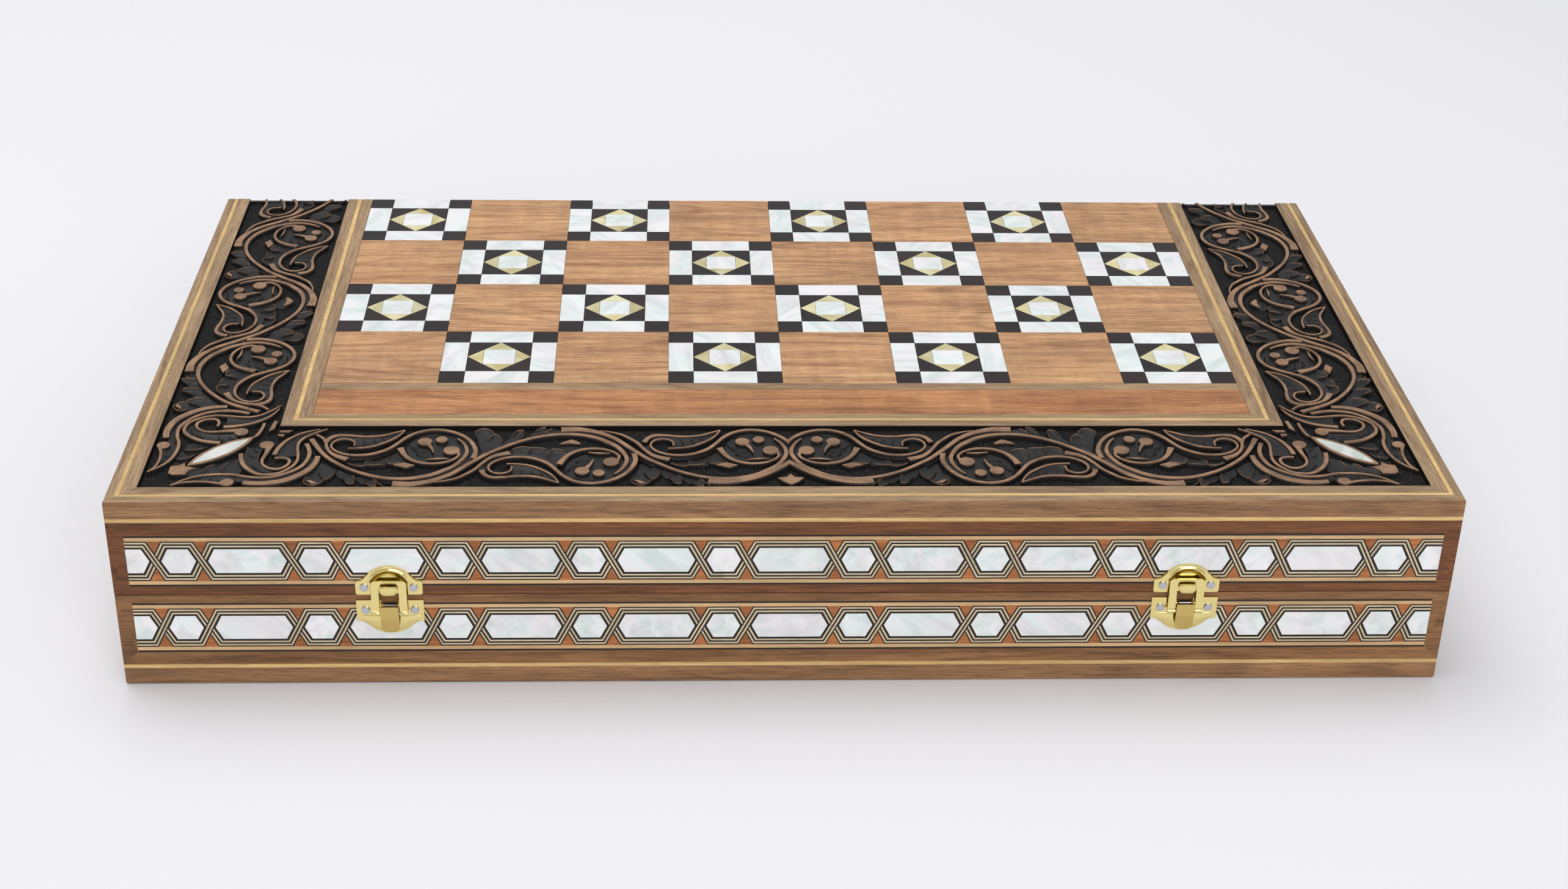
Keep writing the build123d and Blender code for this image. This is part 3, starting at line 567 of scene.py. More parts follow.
diamonds = [[(32.9, 16.5), (38.1, 14.1), (41.2, 16.2), (37.0, 18.3)],
            [(2.2, 5.1), (4.6, 2.5), (6.9, 2.8), (4.3, 4.9)]]
middle_bud = [(239.4, 1.4), (242.4, 4.0), (244.3, 6.6), (240.9, 7.2), (239.4, 9.6), (237.9, 7.2),
              (234.5, 6.6), (236.4, 4.0)]

# The corner, from its outer point: the side board's half mirrors the front board's.
corner_ridges = [
    ((1.8, 1.4, 1.1, 0.9, 0.4), [(46.1, 24.4), (46.8, 29.1), (48.9, 34.9), (52.6, 39.7), (56.2, 42.3),
                                 (60.8, 44.2)]),
    ((0.6, 1.0, 1.0, 1.1, 1.2, 1.5, 1.7),
     [(63.4, 44.4), (59.3, 41.3), (55.7, 37.6), (54.1, 33.9), (54.1, 29.7), (54.9, 24.9), (55.2, 19.6),
      (53.6, 14.9), (50.0, 10.7), (45.8, 9.4), (42.2, 9.9), (39.0, 12.3), (35.9, 16.5), (34.4, 20.7),
      (33.6, 25.2)]),
    ((1.6, 1.4, 1.4, 1.3, 1.2, 1.1, 0.5),
     [(57.0, 32.8), (58.3, 29.1), (59.1, 24.9), (58.8, 20.2), (57.2, 15.4), (53.6, 11.2), (48.9, 8.3),
      (44.2, 7.1), (38.5, 7.8), (34.4, 9.1), (30.2, 9.7), (25.0, 9.4), (19.8, 8.0), (15.6, 5.4),
      (11.5, 1.4)]),
    ((1.8, 2.2, 2.6, 2.6, 2.2), [(62.5, 23.1), (62.2, 18.6), (60.4, 13.3), (56.7, 8.6), (52.0, 4.9),
                                 (46.8, 3.3), (41.6, 3.0), (37.7, 3.6)]),
    ((0.5, 0.9, 1.0, 1.3), [(11.5, 1.4), (15.6, 3.6), (20.8, 4.3), (26.0, 3.8), (30.2, 2.6)]),
    ((2.2, 1.2, 1.0, 1.1, 1.1, 1.0), [(43.4, 30.7), (42.8, 24.9), (42.2, 20.7), (42.9, 17.0), (45.8, 14.1),
                                      (49.4, 13.8), (52.0, 16.5), (52.3, 20.2), (50.0, 22.0), (46.6, 22.0)]),
]
corner_scratches = [
    ((0.4, 0.9, 0.3), [(39.0, 17.5), (41.1, 14.9), (43.7, 12.3), (45.8, 11.7)]),
    ((0.3, 0.8, 0.3), [(37.4, 30.4), (38.6, 28.4), (40.8, 27.4)]),
    ((0.3, 0.8, 0.3), [(36.6, 25.6), (38.2, 24.0), (40.6, 23.6)]),
    ((0.3, 0.7, 0.3), [(19.6, 5.4), (21.0, 6.6), (21.4, 8.4)]),
    ((0.3, 0.7, 0.3), [(23.8, 5.4), (25.0, 6.8), (25.2, 8.4)]),
]
corner_grooves = [
    ((3.4, 3.0), [(59.8, 23.9), (60.4, 19.6), (58.8, 14.4), (55.2, 9.8), (50.5, 6.6), (45.8, 5.2),
                  (40.6, 5.4), (34.6, 6.3)]),
    ((2.4, 4.4, 5.6), [(14.4, 3.6), (19.8, 6.0), (25.0, 6.8), (30.2, 6.8), (35.4, 6.4)]),
    ((4.6, 5.0, 6.0), [(50.6, 12.6), (45.2, 11.6), (40.2, 15.4), (38.0, 21.6), (38.0, 31.0)]),
]
petal_edges = ([(46.3, 24.6), (47.0, 29.1), (49.1, 34.7), (52.8, 39.3), (56.4, 41.9), (60.2, 43.8)],
               [(54.5, 24.6), (54.0, 29.5), (54.0, 33.7), (55.5, 37.6), (58.4, 40.9), (61.6, 43.6)])
corner_rounds = [((31.8, 3.7), 2.6), ((42.2, 32.0), 2.8)]
corner_scales = [
    ([(15.6, 9.6), (16.2, 12.3), (18.2, 14.6), (22.4, 15.9), (21.9, 12.8), (21.9, 10.1)], (-0.8, 0.5)),
    ([(21.9, 10.1), (21.6, 13.3), (22.9, 15.9), (25.5, 17.5), (29.2, 20.7), (28.9, 15.4), (28.9, 12.0),
      (28.6, 9.8)], (-0.9, 0.3)),
    ([(28.6, 12.3), (28.4, 15.9), (29.7, 19.6), (32.3, 22.5), (34.9, 20.7), (35.4, 16.5), (34.9, 12.5)],
     (-0.9, 0.1)),
]
corner_chip = [(10.2, 9.4), (15.6, 9.4), (16.2, 12.3), (18.2, 14.4), (15.1, 15.4), (14.1, 17.5), (9.9, 17.0)]
front_chips = [[(45.5, 41.8), (48.9, 41.5), (50.5, 43.4), (45.5, 43.1)],
               [(45.3, 38.9), (47.6, 38.4), (47.9, 40.2), (45.3, 40.2)]]
flank_ridges = [((1.0, 1.2, 1.0), [(38.8, 49.0), (38.6, 45.9), (37.9, 41.2), (36.6, 37.6), (34.8, 33.9)]),
                ((1.4, 1.6, 2.1), [(43.0, 50.6), (42.6, 47.1), (42.3, 43.4), (41.7, 40.2), (40.6, 36.5)])]


def curve(points, step=0.6, closed=False):
    """A smooth line through given points."""
    knots = [Vector(p) for p in points]
    count = len(knots)
    places = []
    for i in range(count if closed else count - 1):
        a, b = knots[i], knots[(i + 1) % count]
        before = knots[i - 1] if closed or i else a * 2 - b
        after = knots[(i + 2) % count] if closed or i + 2 < count else b * 2 - a
        steps = max(1, round((b - a).length / step))
        for t in (k / steps for k in range(steps)):
            places.append(0.5 * (2 * a + (b - before) * t + (2 * before - 5 * a + 4 * b - after) * t**2
                                 + (3 * a - before - 3 * b + after) * t**3))
    return places if closed else places + [knots[-1]]


def leftwards(path, i):
    """The direction square to a line, at one of its points."""
    along = (path[min(i + 1, len(path) - 1)] - path[max(i - 1, 0)]).normalized()
    return Vector((-along.y, along.x))


def on_front(p, start=0.0, flipped=False):
    """From a unit's own places to the front board; every other unit is turned over."""
    return carve_corner + Vector((start + p[0], front_width - p[1] if flipped else p[1]))


def on_side(p, start=0.0, flipped=False):
    """The same for the left board, which carries the front board's pattern mirrored."""
    out = front_width - p[1] if flipped else p[1]
    return carve_corner + Vector((out * side_width / front_width, start + p[0]))


class Carved:
    """Forms carved or pressed in one piece; each is a closed shell that runs into its neighbours."""

    def __init__(self, place):
        self.place, self.verts, self.faces, self.number = place, [], [], 0

    def mesh(self, name, materials):
        return build(name, self.verts, self.faces, [0] * len(self.faces), materials)

    def shell(self, rows):
        # the sanded tops differ by a hair, as on the real board, so no two lie in one plane
        first, count, last = len(self.verts), len(rows[0]), len(rows) - 1
        self.number += 1
        hair = 0.0008 * self.number
        self.verts += [(x, y, level - hair) for row in rows for x, y, level in row]
        for r in range(last):
            for i in range(count):
                a, b = first + r * count + i, first + r * count + (i + 1) % count
                self.faces.append((a, b, b + count, a + count))
        self.faces.append(tuple(range(first + count - 1, first - 1, -1)))
        self.faces.append(tuple(range(first + last * count, first + last * count + count)))

    def traced(self, points, step=0.6):
        """A smooth line on the board, and how far along it each of its points lies."""
        path = [self.place(p) for p in curve(points, step)]
        return path, np.cumsum([0.0] + [(b - a).length for a, b in zip(path, path[1:])])

    def between(self, left, right, profile):
        """A form that spans two edges, with the profile across it."""
        self.shell([[(*a.lerp(b, share), level) for share, level in profile] for a, b in zip(left, right)])

    def line(self, widths, points, profile):
        path, runs = self.traced(points)
        spread = np.interp(runs / runs[-1], np.linspace(0, 1, len(widths)), widths)
        reaches = [leftwards(path, i) * float(spread[i]) / 2 for i in range(len(path))]
        self.between([p + reach for p, reach in zip(path, reaches)],
                     [p - reach for p, reach in zip(path, reaches)], profile)

    def span(self, edges, profile, stations=40):
        """A hollow between two given edges."""
        sides = []
        for edge in edges:
            path, runs = self.traced(edge, 0.4)
            wanted = np.linspace(0, runs[-1], stations)
            sides.append([Vector(p) for p in zip(np.interp(wanted, runs, [p.x for p in path]),
                                                 np.interp(wanted, runs, [p.y for p in path]))])
        self.between(*sides, profile)

    def mound(self, outline, level=crest, rings=None):
        """A form over an outline. Each ring has a level and a place: up to 0.2 it is a move outwards in
        millimetres, and above that a share of the way from the middle to the outline."""
        ring = [self.place(p) for p in outline]
        middle = sum(ring, Vector((0, 0))) / len(ring)
        rows = []
        for move, rise in rings or [(0.15, ground), (0.0, level - 0.35), (-0.12, level)]:
            row = []
            for p in ring:
                out = p - middle
                q = middle + out * move if move > 0.2 else p + out.normalized() * move
                row.append((*q, rise(out.normalized()) if callable(rise) else rise))
            rows.append(row)
        self.shell(rows)

    def disc(self, centre, radius, corners=24, level=crest):
        self.mound([(centre[0] + radius * cos(turn), centre[1] + radius * sin(turn))
                    for turn in np.linspace(0, 2 * pi, corners + 1)[:-1]], level)

    def scale(self, outline, tip):
        """Dished, with a thin raised edge round its tip that the sanding has just reached."""
        aim = (self.place(tip) - self.place((0, 0))).normalized()

        def raised(low, rise):
            return lambda out: low + rise * min(1.0, max(0.0, 0.2 + 1.1 * out.dot(aim)))

        self.mound(curve(outline, 1.0, closed=True), rings=[
            (0.15, ground), (0.0, raised(78.5, 1.2)), (-0.15, raised(78.6, 1.36)), (-0.45, raised(78.6, 0.8)),
            (-1.2, raised(78.5, 0.5)), (0.4, raised(78.55, 0.3))])

    def forms(self, ridges, scratches, grooves, edges, rounds, scales):
        """All the forms of one stretch of the pattern."""
        for paths, profile in ((ridges, ridge), (scratches, low_ridge), (grooves, groove)):
            for widths, points in paths:
                self.line(widths, points, profile)
        self.span(edges, hollow)
        for form in rounds:
            self.disc(*form)
        for outline, tip in scales:
            self.scale(outline, tip)

    def scroll(self, number):
        """One unit of the scroll."""
        base = self.place
        self.place = lambda p: base(p, first_unit + number * unit_length, number % 2 == 1)
        self.line(*(vine if number else first_vine), ridge)
        self.line(*(leaf_stem if number else first_stem), ridge)
        self.forms(unit_ridges, unit_scratches, unit_grooves, leaf_edges, unit_rounds, unit_scales)
        if number % 2:
            self.scale(*budded_scale)
        for outline in [bud] if number % 2 else diamonds:
            self.mound(outline)
        self.place = base

    def corner(self):
        self.forms(corner_ridges, corner_scratches, corner_grooves, petal_edges, corner_rounds, corner_scales)
        self.mound(corner_chip)

    def board(self, name, outline, cuts, material, both_halves):
        """The finished board: the shells cut off at the board's ends, over a black floor."""
        inner = shrunk(outline, joint)
        self.shell([[(x, y, level) for x, y in inner] for level in (board_floor, ground)])
        form = bmesh.new()
        rough = self.mesh(name, [])
        form.from_mesh(rough)
        bpy.data.meshes.remove(rough)
        for place, outward in cuts:
            bmesh.ops.bisect_plane(form, geom=form.verts[:] + form.edges[:] + form.faces[:], dist=1e-7,
                                   plane_co=Vector(place) / 1000, plane_no=outward, clear_outer=True)
            bmesh.ops.holes_fill(form, edges=[e for e in form.edges if e.is_boundary], sides=0)
        if both_halves:
            other = bmesh.ops.duplicate(form, geom=form.verts[:] + form.edges[:] + form.faces[:])["geom"]
            for vert in (v for v in other if isinstance(v, bmesh.types.BMVert)):
                vert.co.x = -vert.co.x
        bmesh.ops.recalc_face_normals(form, faces=form.faces)
        mesh = bpy.data.meshes.new(name)
        form.to_mesh(mesh)
        form.free()
        mesh.materials.append(material)
        mesh.shade_smooth()
        mesh.set_sharp_from_angle(angle=radians(38))
        return mesh


def blackened(name, along):
    """Walnut stained black in the cuts; sanding has bared the flat tops, which show the grain. Heights
    are from the middle of the case, in metres: the ground lies at 0.038 and the flat tops at 0.040."""
    material, tree, place = start_material(name)
    up = add(tree, "ShaderNodeSeparateXYZ", {0: place}).outputs["Z"]
    height = maths(tree, "ABSOLUTE", maths(tree, "SUBTRACT", up, case_height / 2000))
    fibre_size = [0.7] * 3
    fibre_size[along] = 9
    bare = blend(tree, noise(tree, stretched(tree, place, fibre_size), 1.0, 3.0), "#b18b6a", "#6c4e3a")
    rubbed = between(tree, noise(tree, place, 1000 / 9, 3.0), 0.35, 0.65, 0.68, 1.22)
    grit = noise(tree, place, 1000 / 0.8, 3.0)
    worn = maths(tree, "SUBTRACT", height, maths(tree, "MULTIPLY", grit, 0.00025))
    floor_black = blend(tree, between(tree, grit, 0.5, 0.75), "#121111", "#3f3a36")
    black = blend(tree, between(tree, height, 0.0381, 0.0387), floor_black, "#201e1d")
    browned = blend(tree, between(tree, worn, 0.0390, 0.0395), black, "#4a3d37")
    colour = blend(tree, between(tree, worn, 0.0395, 0.0397), browned, lit(tree, bare, rubbed))
    # the ground is roughened all over with a punch
    punched = add(tree, "ShaderNodeTexVoronoi", {"Vector": place, "Scale": 1000 / 0.8}).outputs["Distance"]
    floor_share = between(tree, height, 0.0380, 0.0383, 1.0, 0.12)
    surface(tree, {"Base Color": colour, "Roughness": between(tree, height, 0.0380, 0.0386, 0.85, 0.45),
                   "Specular IOR Level": 0.3, "Normal": bump(tree, punched, floor_share, 0.001)})
    return material


carved_walnut = [blackened("blackened walnut along X", 0), blackened("blackened walnut along Y", 1)]
inner_corner = (-frame_corner[0], frame_corner[1])
mitre_across = (front_width, -side_width, 0.0)
front_half, side_half = Carved(on_front), Carved(on_side)
for number in range(3):
    front_half.scroll(number)
for number in range(4):
    side_half.scroll(number)
front_half.place = lambda p: on_front(p, first_unit + 2 * unit_length)
front_half.line(*last_root, ridge)
front_half.place = on_front
for half_board in (front_half, side_half):
    half_board.corner()
for outline in front_chips + [middle_bud]:
    front_half.mound(outline)
side_half.place = on_front
for widths, points in flank_ridges:
    side_half.line(widths, points, ridge)
corner_point = tuple(carve_corner)
# a stained strip was left standing along the back edge
strip_front_edge, strip_top = 136.2, 79.35
back_strip = shrunk(rectangle(corner_point[0], strip_front_edge, inner_corner[0], case_half.y), joint)
side_half.shell([[(x, y, level) for x, y in back_strip] for level in (board_floor, strip_top)])
front_board = front_half.board(
    "front_carving", [corner_point, (0.0, corner_point[1]), (0.0, inner_corner[1]), inner_corner],
    [((*corner_point, 0), Vector(mitre_across) * -1), ((0, 0, 0), (1, 0, 0))], carved_walnut[0], True)
left_board = side_half.board(
    "left_carving",
    [corner_point, inner_corner, (inner_corner[0], case_half.y), (corner_point[0], case_half.y)],
    [((*corner_point, 0), mitre_across), ((0, case_half.y, 0), (0, 1, 0))], carved_walnut[1], False)
right_board = left_board.copy()
right_board.transform(Matrix.Scale(-1, 4, (1, 0, 0)))
right_board.flip_normals()
for half, boards in (("lid", (left_board, right_board)), ("base", (right_board, left_board))):
    for side, carving in zip(("front", "left", "right"), (front_board, *boards)):
        own = carving.copy()
        own.name = f"{half}_{side}_carving"
        fit(own, half, "carved_walnut", f"{half}_carved_{side}")


# The pearl marquises
# A pointed oval of white shell lies in each mitred corner of the carving, inside a narrow bare rim.

grey_pearl = pearl("grey mother-of-pearl", "#e4e6df", "#a4aca3", ("#e9dfdc", "#cfdcd4"), 0.06)
marquise_middle = Vector((25.8, 27.0))
rim_size, shell_size = (30.8, 8.8), (26.4, 6.4)


def pointed_oval(length, width, side):
    """Two arcs that meet in points along the mitre of the left or right corner."""
    radius = (length**2 + width**2) / (4 * width)
    along = Vector((side_width, front_width)).normalized()
    across = Vector((-along.y, along.x))
    middle = carve_corner + marquise_middle
    outline = []
    for way in (1, -1):
        for reach in np.linspace(-length / 2, length / 2, 25)[:-1]:
            sideways = (radius**2 - reach**2) ** 0.5 - radius + width / 2
            outline.append(middle + (along * float(reach) - across * float(sideways)) * way)
    return [(side * p.x, p.y) for p in outline][::side]


for half in ("base", "lid"):
    rims, shells = Carved(Vector), Inlay()
    for side in (-1, 1):
        rim, shell = (pointed_oval(*size, side) for size in (rim_size, shell_size))
        rings = ((rim, 0.2, ground), (rim, 0.0, 79.5), (rim, -0.1, crest), (shell, 0.0, crest),
                 (shell, 0.0, 79.0))
        rims.shell([[(*p, level) for p in shrunk(ring, -out)] for ring, out, level in rings])
        shells.lay(shrunk(shell, 0.05), 79.0)
    fit(rims.mesh(f"{half}_marquise_rims", carved_walnut[:1]), half, "carved_walnut")
    fit(shells.mesh(f"{half}_marquise_pearls", [grey_pearl]), half, "white_pearl", f"{half}_pearl_inlay")


# The marquetry bands
# Strips of five dyed and plain veneer lines weave over and under each other round long and short
# pearl hexagons, between a black and a beige edge line. Small wood triangles fill the crossings.

band_middle, band_half = 14.55, 10.85
black_edge, beige_inside = 0.8, 8.55
pitch, long_pearl, short_pearl = 50.0, 28.7, 12.7
pearl_height, pearl_tip = 10.3, 2.6
strip_centre, strip_lines = 7.0, (-1.52, -1.02, -0.34, 0.34, 1.02, 1.52)
bend_long, bend_short = 12.96, 20.04
crossing, triangle_half, triangle_tip, triangle_foot = 16.5, 2.6, 3.4, 8.5

# levels from the wall's face: the bed, the triangles, and a strip where it runs along, over and under
bed_level, triangle_level, along_level, over_level, under_level = -0.16, -0.08, -0.01, -0.012, -0.05

black_line = wood("black dyed veneer", "#24201d", "#37302a", 0, ring=1.5)
pale_line = wood("bone white veneer", "#d8c6a5", "#b59d78", 0, ring=1.5)
beige_line = wood("beige veneer", "#d3ae80", "#ad8658", 0, ring=1.5)
triangle_wood = wood("orange red veneer", "#bf7944", "#834728", 0, ring=3.0, shift=60.0, streak=0.9)
band_finishes = [black_line, pale_line, beige_line, triangle_wood]


def trimmed(points, reach):
    """A convex outline cut off where it passes the band's two ends."""
    for sign in (-1, 1):
        kept = []
        for i, here in enumerate(points):
            before = points[i - 1]
            inside_here, inside_before = sign * here[0] <= reach, sign * before[0] <= reach
            if inside_here != inside_before:
                t = (sign * reach - before[0]) / (here[0] - before[0])
                kept.append((sign * reach, before[1] + t * (here[1] - before[1])))
            if inside_here:
                kept.append(here)
        points = kept
        if len(points) < 3:
            return []
    return points


def counter_clockwise(points):
    area = sum(a[0] * b[1] - b[0] * a[1] for a, b in zip(points, points[1:] + points[:1]))
    return points if area > 0 else points[::-1]


def mitres(corners):
    """For each corner of a bent strip, the way to its left that keeps the strip's width through it."""
    ways = []
    for i in range(len(corners)):
        before = (corners[i] - corners[i - 1]).normalized() if i else Vector((1, 0))
        after = (corners[i + 1] - corners[i]).normalized() if i + 1 < len(corners) else Vector((1, 0))
        normal = Vector((-before.y, before.x)) + Vector((-after.y, after.x))
        ways.append(normal / (1 + before.dot(after)))
    return ways


def band(length, over_sign):
    """One band's veneers and pearls, along its own middle line; the level of each strip's slanting
    stretch says which of the two lies over the other."""
    veneers, pearls = Inlay(), Inlay()
    reach = length / 2 - 6.0

    def lay(into, points, high, mark, ease=0.02):
        points = trimmed(counter_clockwise(points), reach)
        if points:
            into.lay(points, -0.5, high, mark, ease)

    lay(veneers, rectangle(-reach, -band_half, reach, band_half), bed_level, 0)
    for sign in (-1, 1):
        beige_outside = band_half - black_edge
        for low, high, mark in ((beige_outside, band_half, 0), (beige_inside, beige_outside, 2)):
            ys = sorted((sign * low, sign * high))
            lay(veneers, rectangle(-reach, ys[0], reach, ys[1]), 0.0, mark)
    for step in range(-ceil(length / pitch) - 1, ceil(length / pitch) + 2):
        centre = step * pitch / 2
        point, high = (short_pearl if step % 2 else long_pearl) / 2, pearl_height / 2
        hexagon = [(-point, 0), (pearl_tip - point, -high), (point - pearl_tip, -high),
                   (point, 0), (point - pearl_tip, high), (pearl_tip - point, high)]
        lay(pearls, shrunk([(centre + x, y) for x, y in hexagon], 0.03), 0.0, 0, 0.05)
        if step % 2:
            continue
        for x in (centre - crossing, centre + crossing):
            for up in (-1, 1):
                lay(veneers, [(x, up * triangle_tip), (x - triangle_half, up * triangle_foot),
                              (x + triangle_half, up * triangle_foot)], triangle_level, 3)
        for up in (-1, 1):
            nodes = ((-pitch / 2, -up), (-bend_short, -up), (-bend_long, up),
                     (bend_long, up), (bend_short, -up), (pitch / 2, -up))
            corners = [Vector((centre + x, way * strip_centre)) for x, way in nodes]
            ways = mitres(corners)
            for i in range(len(corners) - 1):
                rise = corners[i + 1].y - corners[i].y
                level = along_level if rise == 0 else over_level if rise * over_sign > 0 else under_level
                for line, (a, b) in enumerate(zip(strip_lines, strip_lines[1:])):
                    quad = [corners[i] + ways[i] * a, corners[i + 1] + ways[i + 1] * a,
                            corners[i + 1] + ways[i + 1] * b, corners[i] + ways[i] * b]
                    lay(veneers, [tuple(p) for p in quad], level, line % 2)
    return veneers, pearls


# a band's own frame on each wall: along it, up from the parting plane, and out of the wall
walls = {
    "front": Matrix(((1, 0, 0, 0), (0, 0, -1, -0.138), (0, 1, 0, 0.04), (0, 0, 0, 1))),
    "left": Matrix(((0, 0, -1, -0.25), (-1, 0, 0, 0), (0, 1, 0, 0.04), (0, 0, 0, 1))),
    "right": Matrix(((0, 0, 1, 0.25), (1, 0, 0, 0), (0, 1, 0, 0.04), (0, 0, 0, 1))),
}
for half, over_sign in (("base", 1), ("lid", -1)):
    whole = {"veneers": bmesh.new(), "pearls": bmesh.new()}
    for side, wall in walls.items():
        length = 500.0 if side == "front" else 276.0
        veneers, pearls = band(length, over_sign)
        lift = Matrix.Translation((0, band_middle / 1000, 0))
        for name, inlay, finishes in (("veneers", veneers, band_finishes), ("pearls", pearls, [white_pearl])):
            part = inlay.mesh("band_stretch", finishes)
            part.transform(wall @ lift)
            whole[name].from_mesh(part)
            bpy.data.meshes.remove(part)
    for name, node, slot, finishes in (("veneers", "marquetry_bands", "marquetry", band_finishes),
                                       ("pearls", "band_pearls", "white_pearl", [white_pearl])):
        mesh = bpy.data.meshes.new(f"{half}_band_{name}")
        whole[name].to_mesh(mesh)
        for material in finishes:
            mesh.materials.append(material)
        fit(mesh, half, slot, f"{half}_{node}")


# The backgammon table inside
# A reddish board in each tray with twelve long points let in flush, dark and light in turn.

field_wood = wood("field board", "#9a6442", "#71452d", 0, ring=6.0, streak=0.6)
dark_point = wood("dark point", "#3a2118", "#241510", 0, ring=4.0)
light_point = wood("light point", "#d8b583", "#b28a58", 0, ring=4.0, figure=0.06)
for half in ("base", "lid"):
    finish_node(f"{half}_playing_field", field_wood)
    finish_node(f"{half}_dark_points", dark_point)
    finish_node(f"{half}_light_points", light_point)


# Hinges, latches and nails
# Stamped brass sheet, bright and slightly wavy from the press, its edges rounded by tumbling. Steel
# nails hold the latches and brass screws the hinges; all of them turn on steel pins.

def metal(name, colour, roughness):
    """Bright sheet metal with the faint ripple that stamping leaves."""
    material, tree, place = start_material(name)
    ripple = noise(tree, place, 350.0, 2.0)
    surface(tree, {"Base Color": linear(colour), "Metallic": 1.0, "Normal": bump(tree, ripple, 0.8, 0.00003),
                   "Roughness": between(tree, ripple, 0.0, 1.0, roughness * 0.8, roughness * 1.3)})
    return material


def rounded(node, width):
    """Tumbled edges on a CAD piece."""
    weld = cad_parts[node].modifiers.new("weld", "WELD")
    weld.merge_threshold = 0.000001
    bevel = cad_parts[node].modifiers.new("tumbled edges", "BEVEL")
    bevel.width, bevel.segments, bevel.limit_method = width / 1000, 3, "ANGLE"
    bevel.angle_limit = radians(40)


brass = metal("stamped brass", "#ecda94", 0.17)
# The lever's brass is painted darker than the keeper's: painted shade for the bent lever turned from the
# light; its higher roughness gives its duller surface.
lever_brass_painted_darker = metal("lever brass with painted shade", "#d3b870", 0.3)
steel = metal("bright steel", "#bfc1c4", 0.25)
for half in ("base", "lid"):
    finish_node(f"{half}_hinge_leaves", brass)
    finish_node(f"{half}_hinge_screws", brass)
    finish_node(f"{half}_latch_nails", steel)
finish_node("hinge_pins", steel)
finish_node("latch_lever_pins", steel)
for side in ("left", "right"):
    finish_node(f"{side}_latch_bail_pin", steel)
    # the lever takes the brass with painted shade
    for name, finish in (("keeper", brass), ("lever", lever_brass_painted_darker), ("bail", brass)):
        finish_node(f"{side}_latch_{name}", finish)
        rounded(f"{side}_latch_{name}", 0.16)


# The catch plates
# A brass plate pressed into an arch: a rim round a hollow, from which a curled hook comes forward
# between the bars of the bail. Places are from the parting plane, levels from the front face.

catch_edge = [(0.0, 0.4), (6.0, 0.4), (11.8, 0.4), (12.35, 0.6), (12.5, 1.1), (12.5, 3.4), (12.5, 5.6),
              (12.3, 6.1), (11.7, 6.3), (10.7, 6.45), (9.6, 7.1), (8.0, 8.8), (6.0, 10.5), (4.0, 11.6),
              (2.0, 12.2), (0.0, 12.38)]
catch_middle, rim_drop = 4.6, 0.25
latch_sides = (("left", -149.0), ("right", 149.0))
hook_path = [(4.4, 0.5), (3.0, 0.9), (1.9, 1.6), (1.2, 2.4), (1.25, 3.1), (2.0, 3.62), (3.2, 3.75),
             (4.4, 3.72), (5.3, 3.5)]
hook_widths = (5.6, 5.6, 5.2, 4.4, 5.0, 6.2, 6.8, 6.8, 6.2)


def mirrored(edge, step):
    """A whole outline from its right half, which starts and ends on the middle line."""
    right = curve(edge, step)
    return right + [Vector((-p.x, p.y)) for p in right[-2:0:-1]]


def pressed(x, up):
    """How far the plate's face stands out: 0.35 mm in the hollow, 1.05 round it, 1.6 on the arch's rim."""
    reach = (x * x + (max(up - 4.0, 0.0) * 1.07) ** 2) ** 0.5
    if reach < 6.9:
        return 0.35 + 0.7 * max(0.0, (reach - 4.6) / 2.3) ** 2
    return 1.05 + 0.55 * max(0.0, 1 - abs(reach - 7.6) / 0.95) * min(1.0, max(0.0, (up - 5.4) / 1.6))


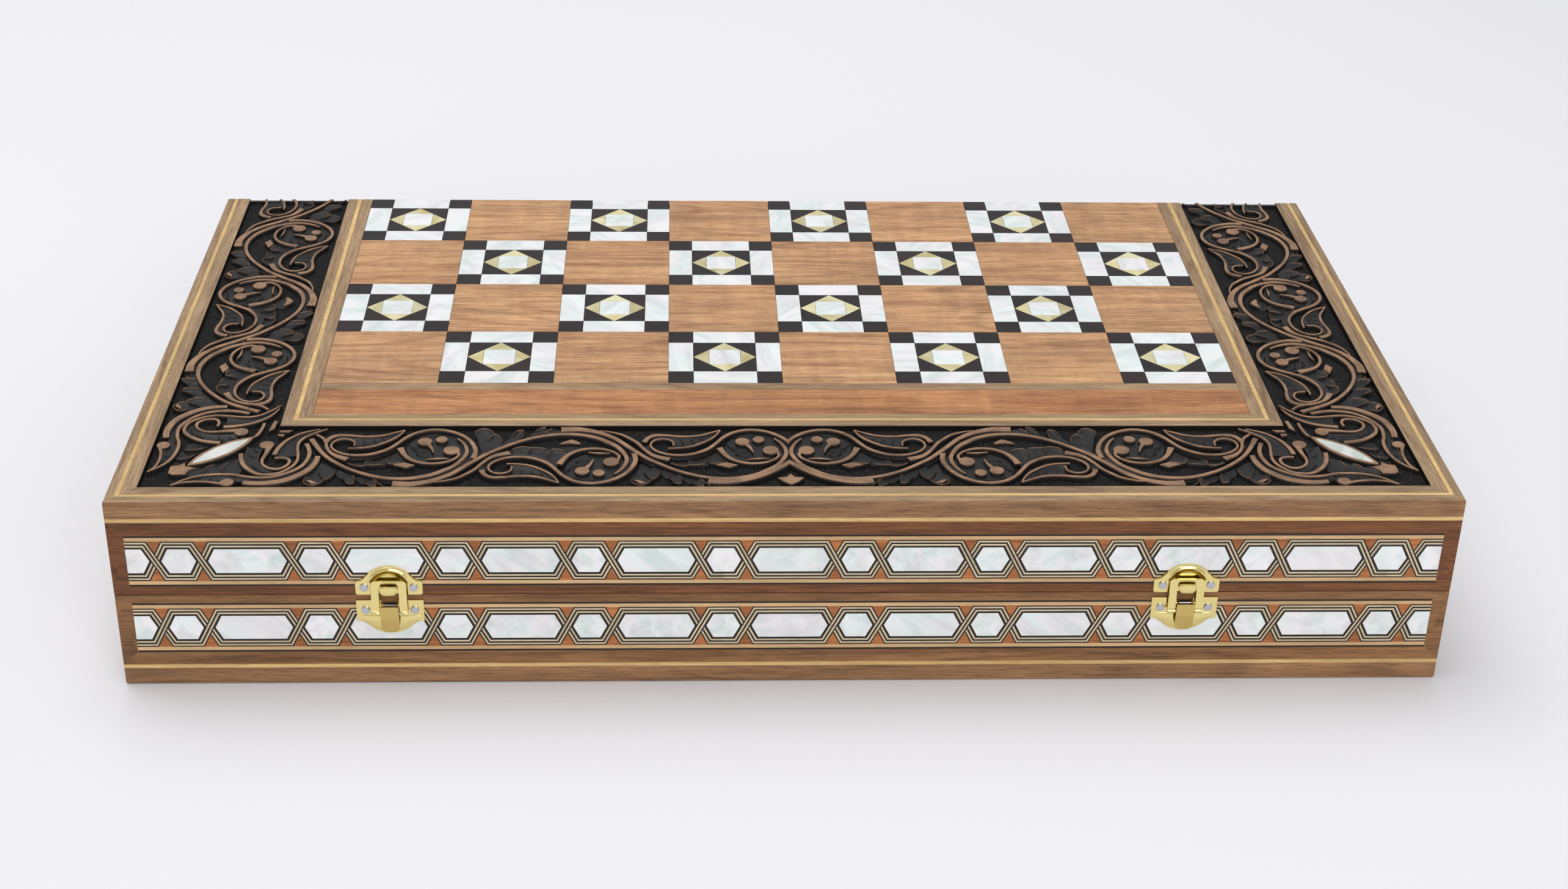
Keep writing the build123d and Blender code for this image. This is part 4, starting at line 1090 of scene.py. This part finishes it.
for side, latch_x in latch_sides:
    catch = Carved(Vector)
    outline = mirrored(catch_edge, 0.4)
    rows = [[(latch_x + p.x, p.y, 0.0) for p in outline]]
    for share in (1.0, *np.linspace(0.98, 0.03, 36)):
        places = [(p.x * share, catch_middle + (p.y - catch_middle) * share) for p in outline]
        rows.append([(latch_x + x, up, pressed(x, up) - rim_drop * (share == 1.0)) for x, up in places])
    catch.shell(rows)
    rows = []
    path = curve(hook_path, 0.25)
    widths = np.interp(np.linspace(0, 1, len(path)), np.linspace(0, 1, len(hook_widths)), hook_widths)
    for i, here in enumerate(path):
        ring = []
        for turn in np.linspace(0, 2 * pi, 33)[:-1]:
            across = float(np.sign(cos(turn)) * abs(cos(turn)) ** 0.4)
            thick = float(0.3 * np.sign(sin(turn)) * abs(sin(turn)) ** 0.6 - 0.55 * across**4)
            place = here + leftwards(path, i) * thick
            ring.append((latch_x + across * widths[i] / 2, place.x, place.y))
        rows.append(ring)
    catch.shell(rows)
    plate = catch.mesh(f"{side}_catch_plate", [brass])
    form = bmesh.new()
    form.from_mesh(plate)
    bmesh.ops.recalc_face_normals(form, faces=form.faces)
    form.to_mesh(plate)
    form.free()
    plate.transform(walls["front"])
    plate.shade_smooth()
    plate.set_sharp_from_angle(angle=radians(40))
    fit(plate, "lid", "brass", f"{side}_latch_catch")


# The swell of the keeper plates
# Below its nails each keeper is pressed forward into a shallow swell, behind the tip of the lever.

swell_edge = [(0.0, -8.6), (6.0, -8.6), (10.6, -8.8), (11.7, -9.6), (11.4, -10.9), (9.2, -12.2), (6.6, -14.2),
              (3.4, -15.7), (0.0, -16.2)]
swell_middle, plate_face, swell_height = -12.0, 0.8, 0.6
for side, latch_x in latch_sides:
    swell = Carved(Vector)
    outline = mirrored(swell_edge, 0.5)
    rows = []
    for share in (1.0, *np.linspace(0.96, 0.04, 14)):
        level = plate_face + swell_height * (1 - share**2) - 0.1 * (share == 1.0)
        rows.append([(latch_x + p.x * share, swell_middle + (p.y - swell_middle) * share, level)
                     for p in outline])
    swell.shell(rows)
    bulge = swell.mesh(f"{side}_keeper_swell", [brass])
    bulge.flip_normals()
    bulge.transform(walls["front"])
    bulge.shade_smooth()
    fit(bulge, "lid", "brass", body="base")
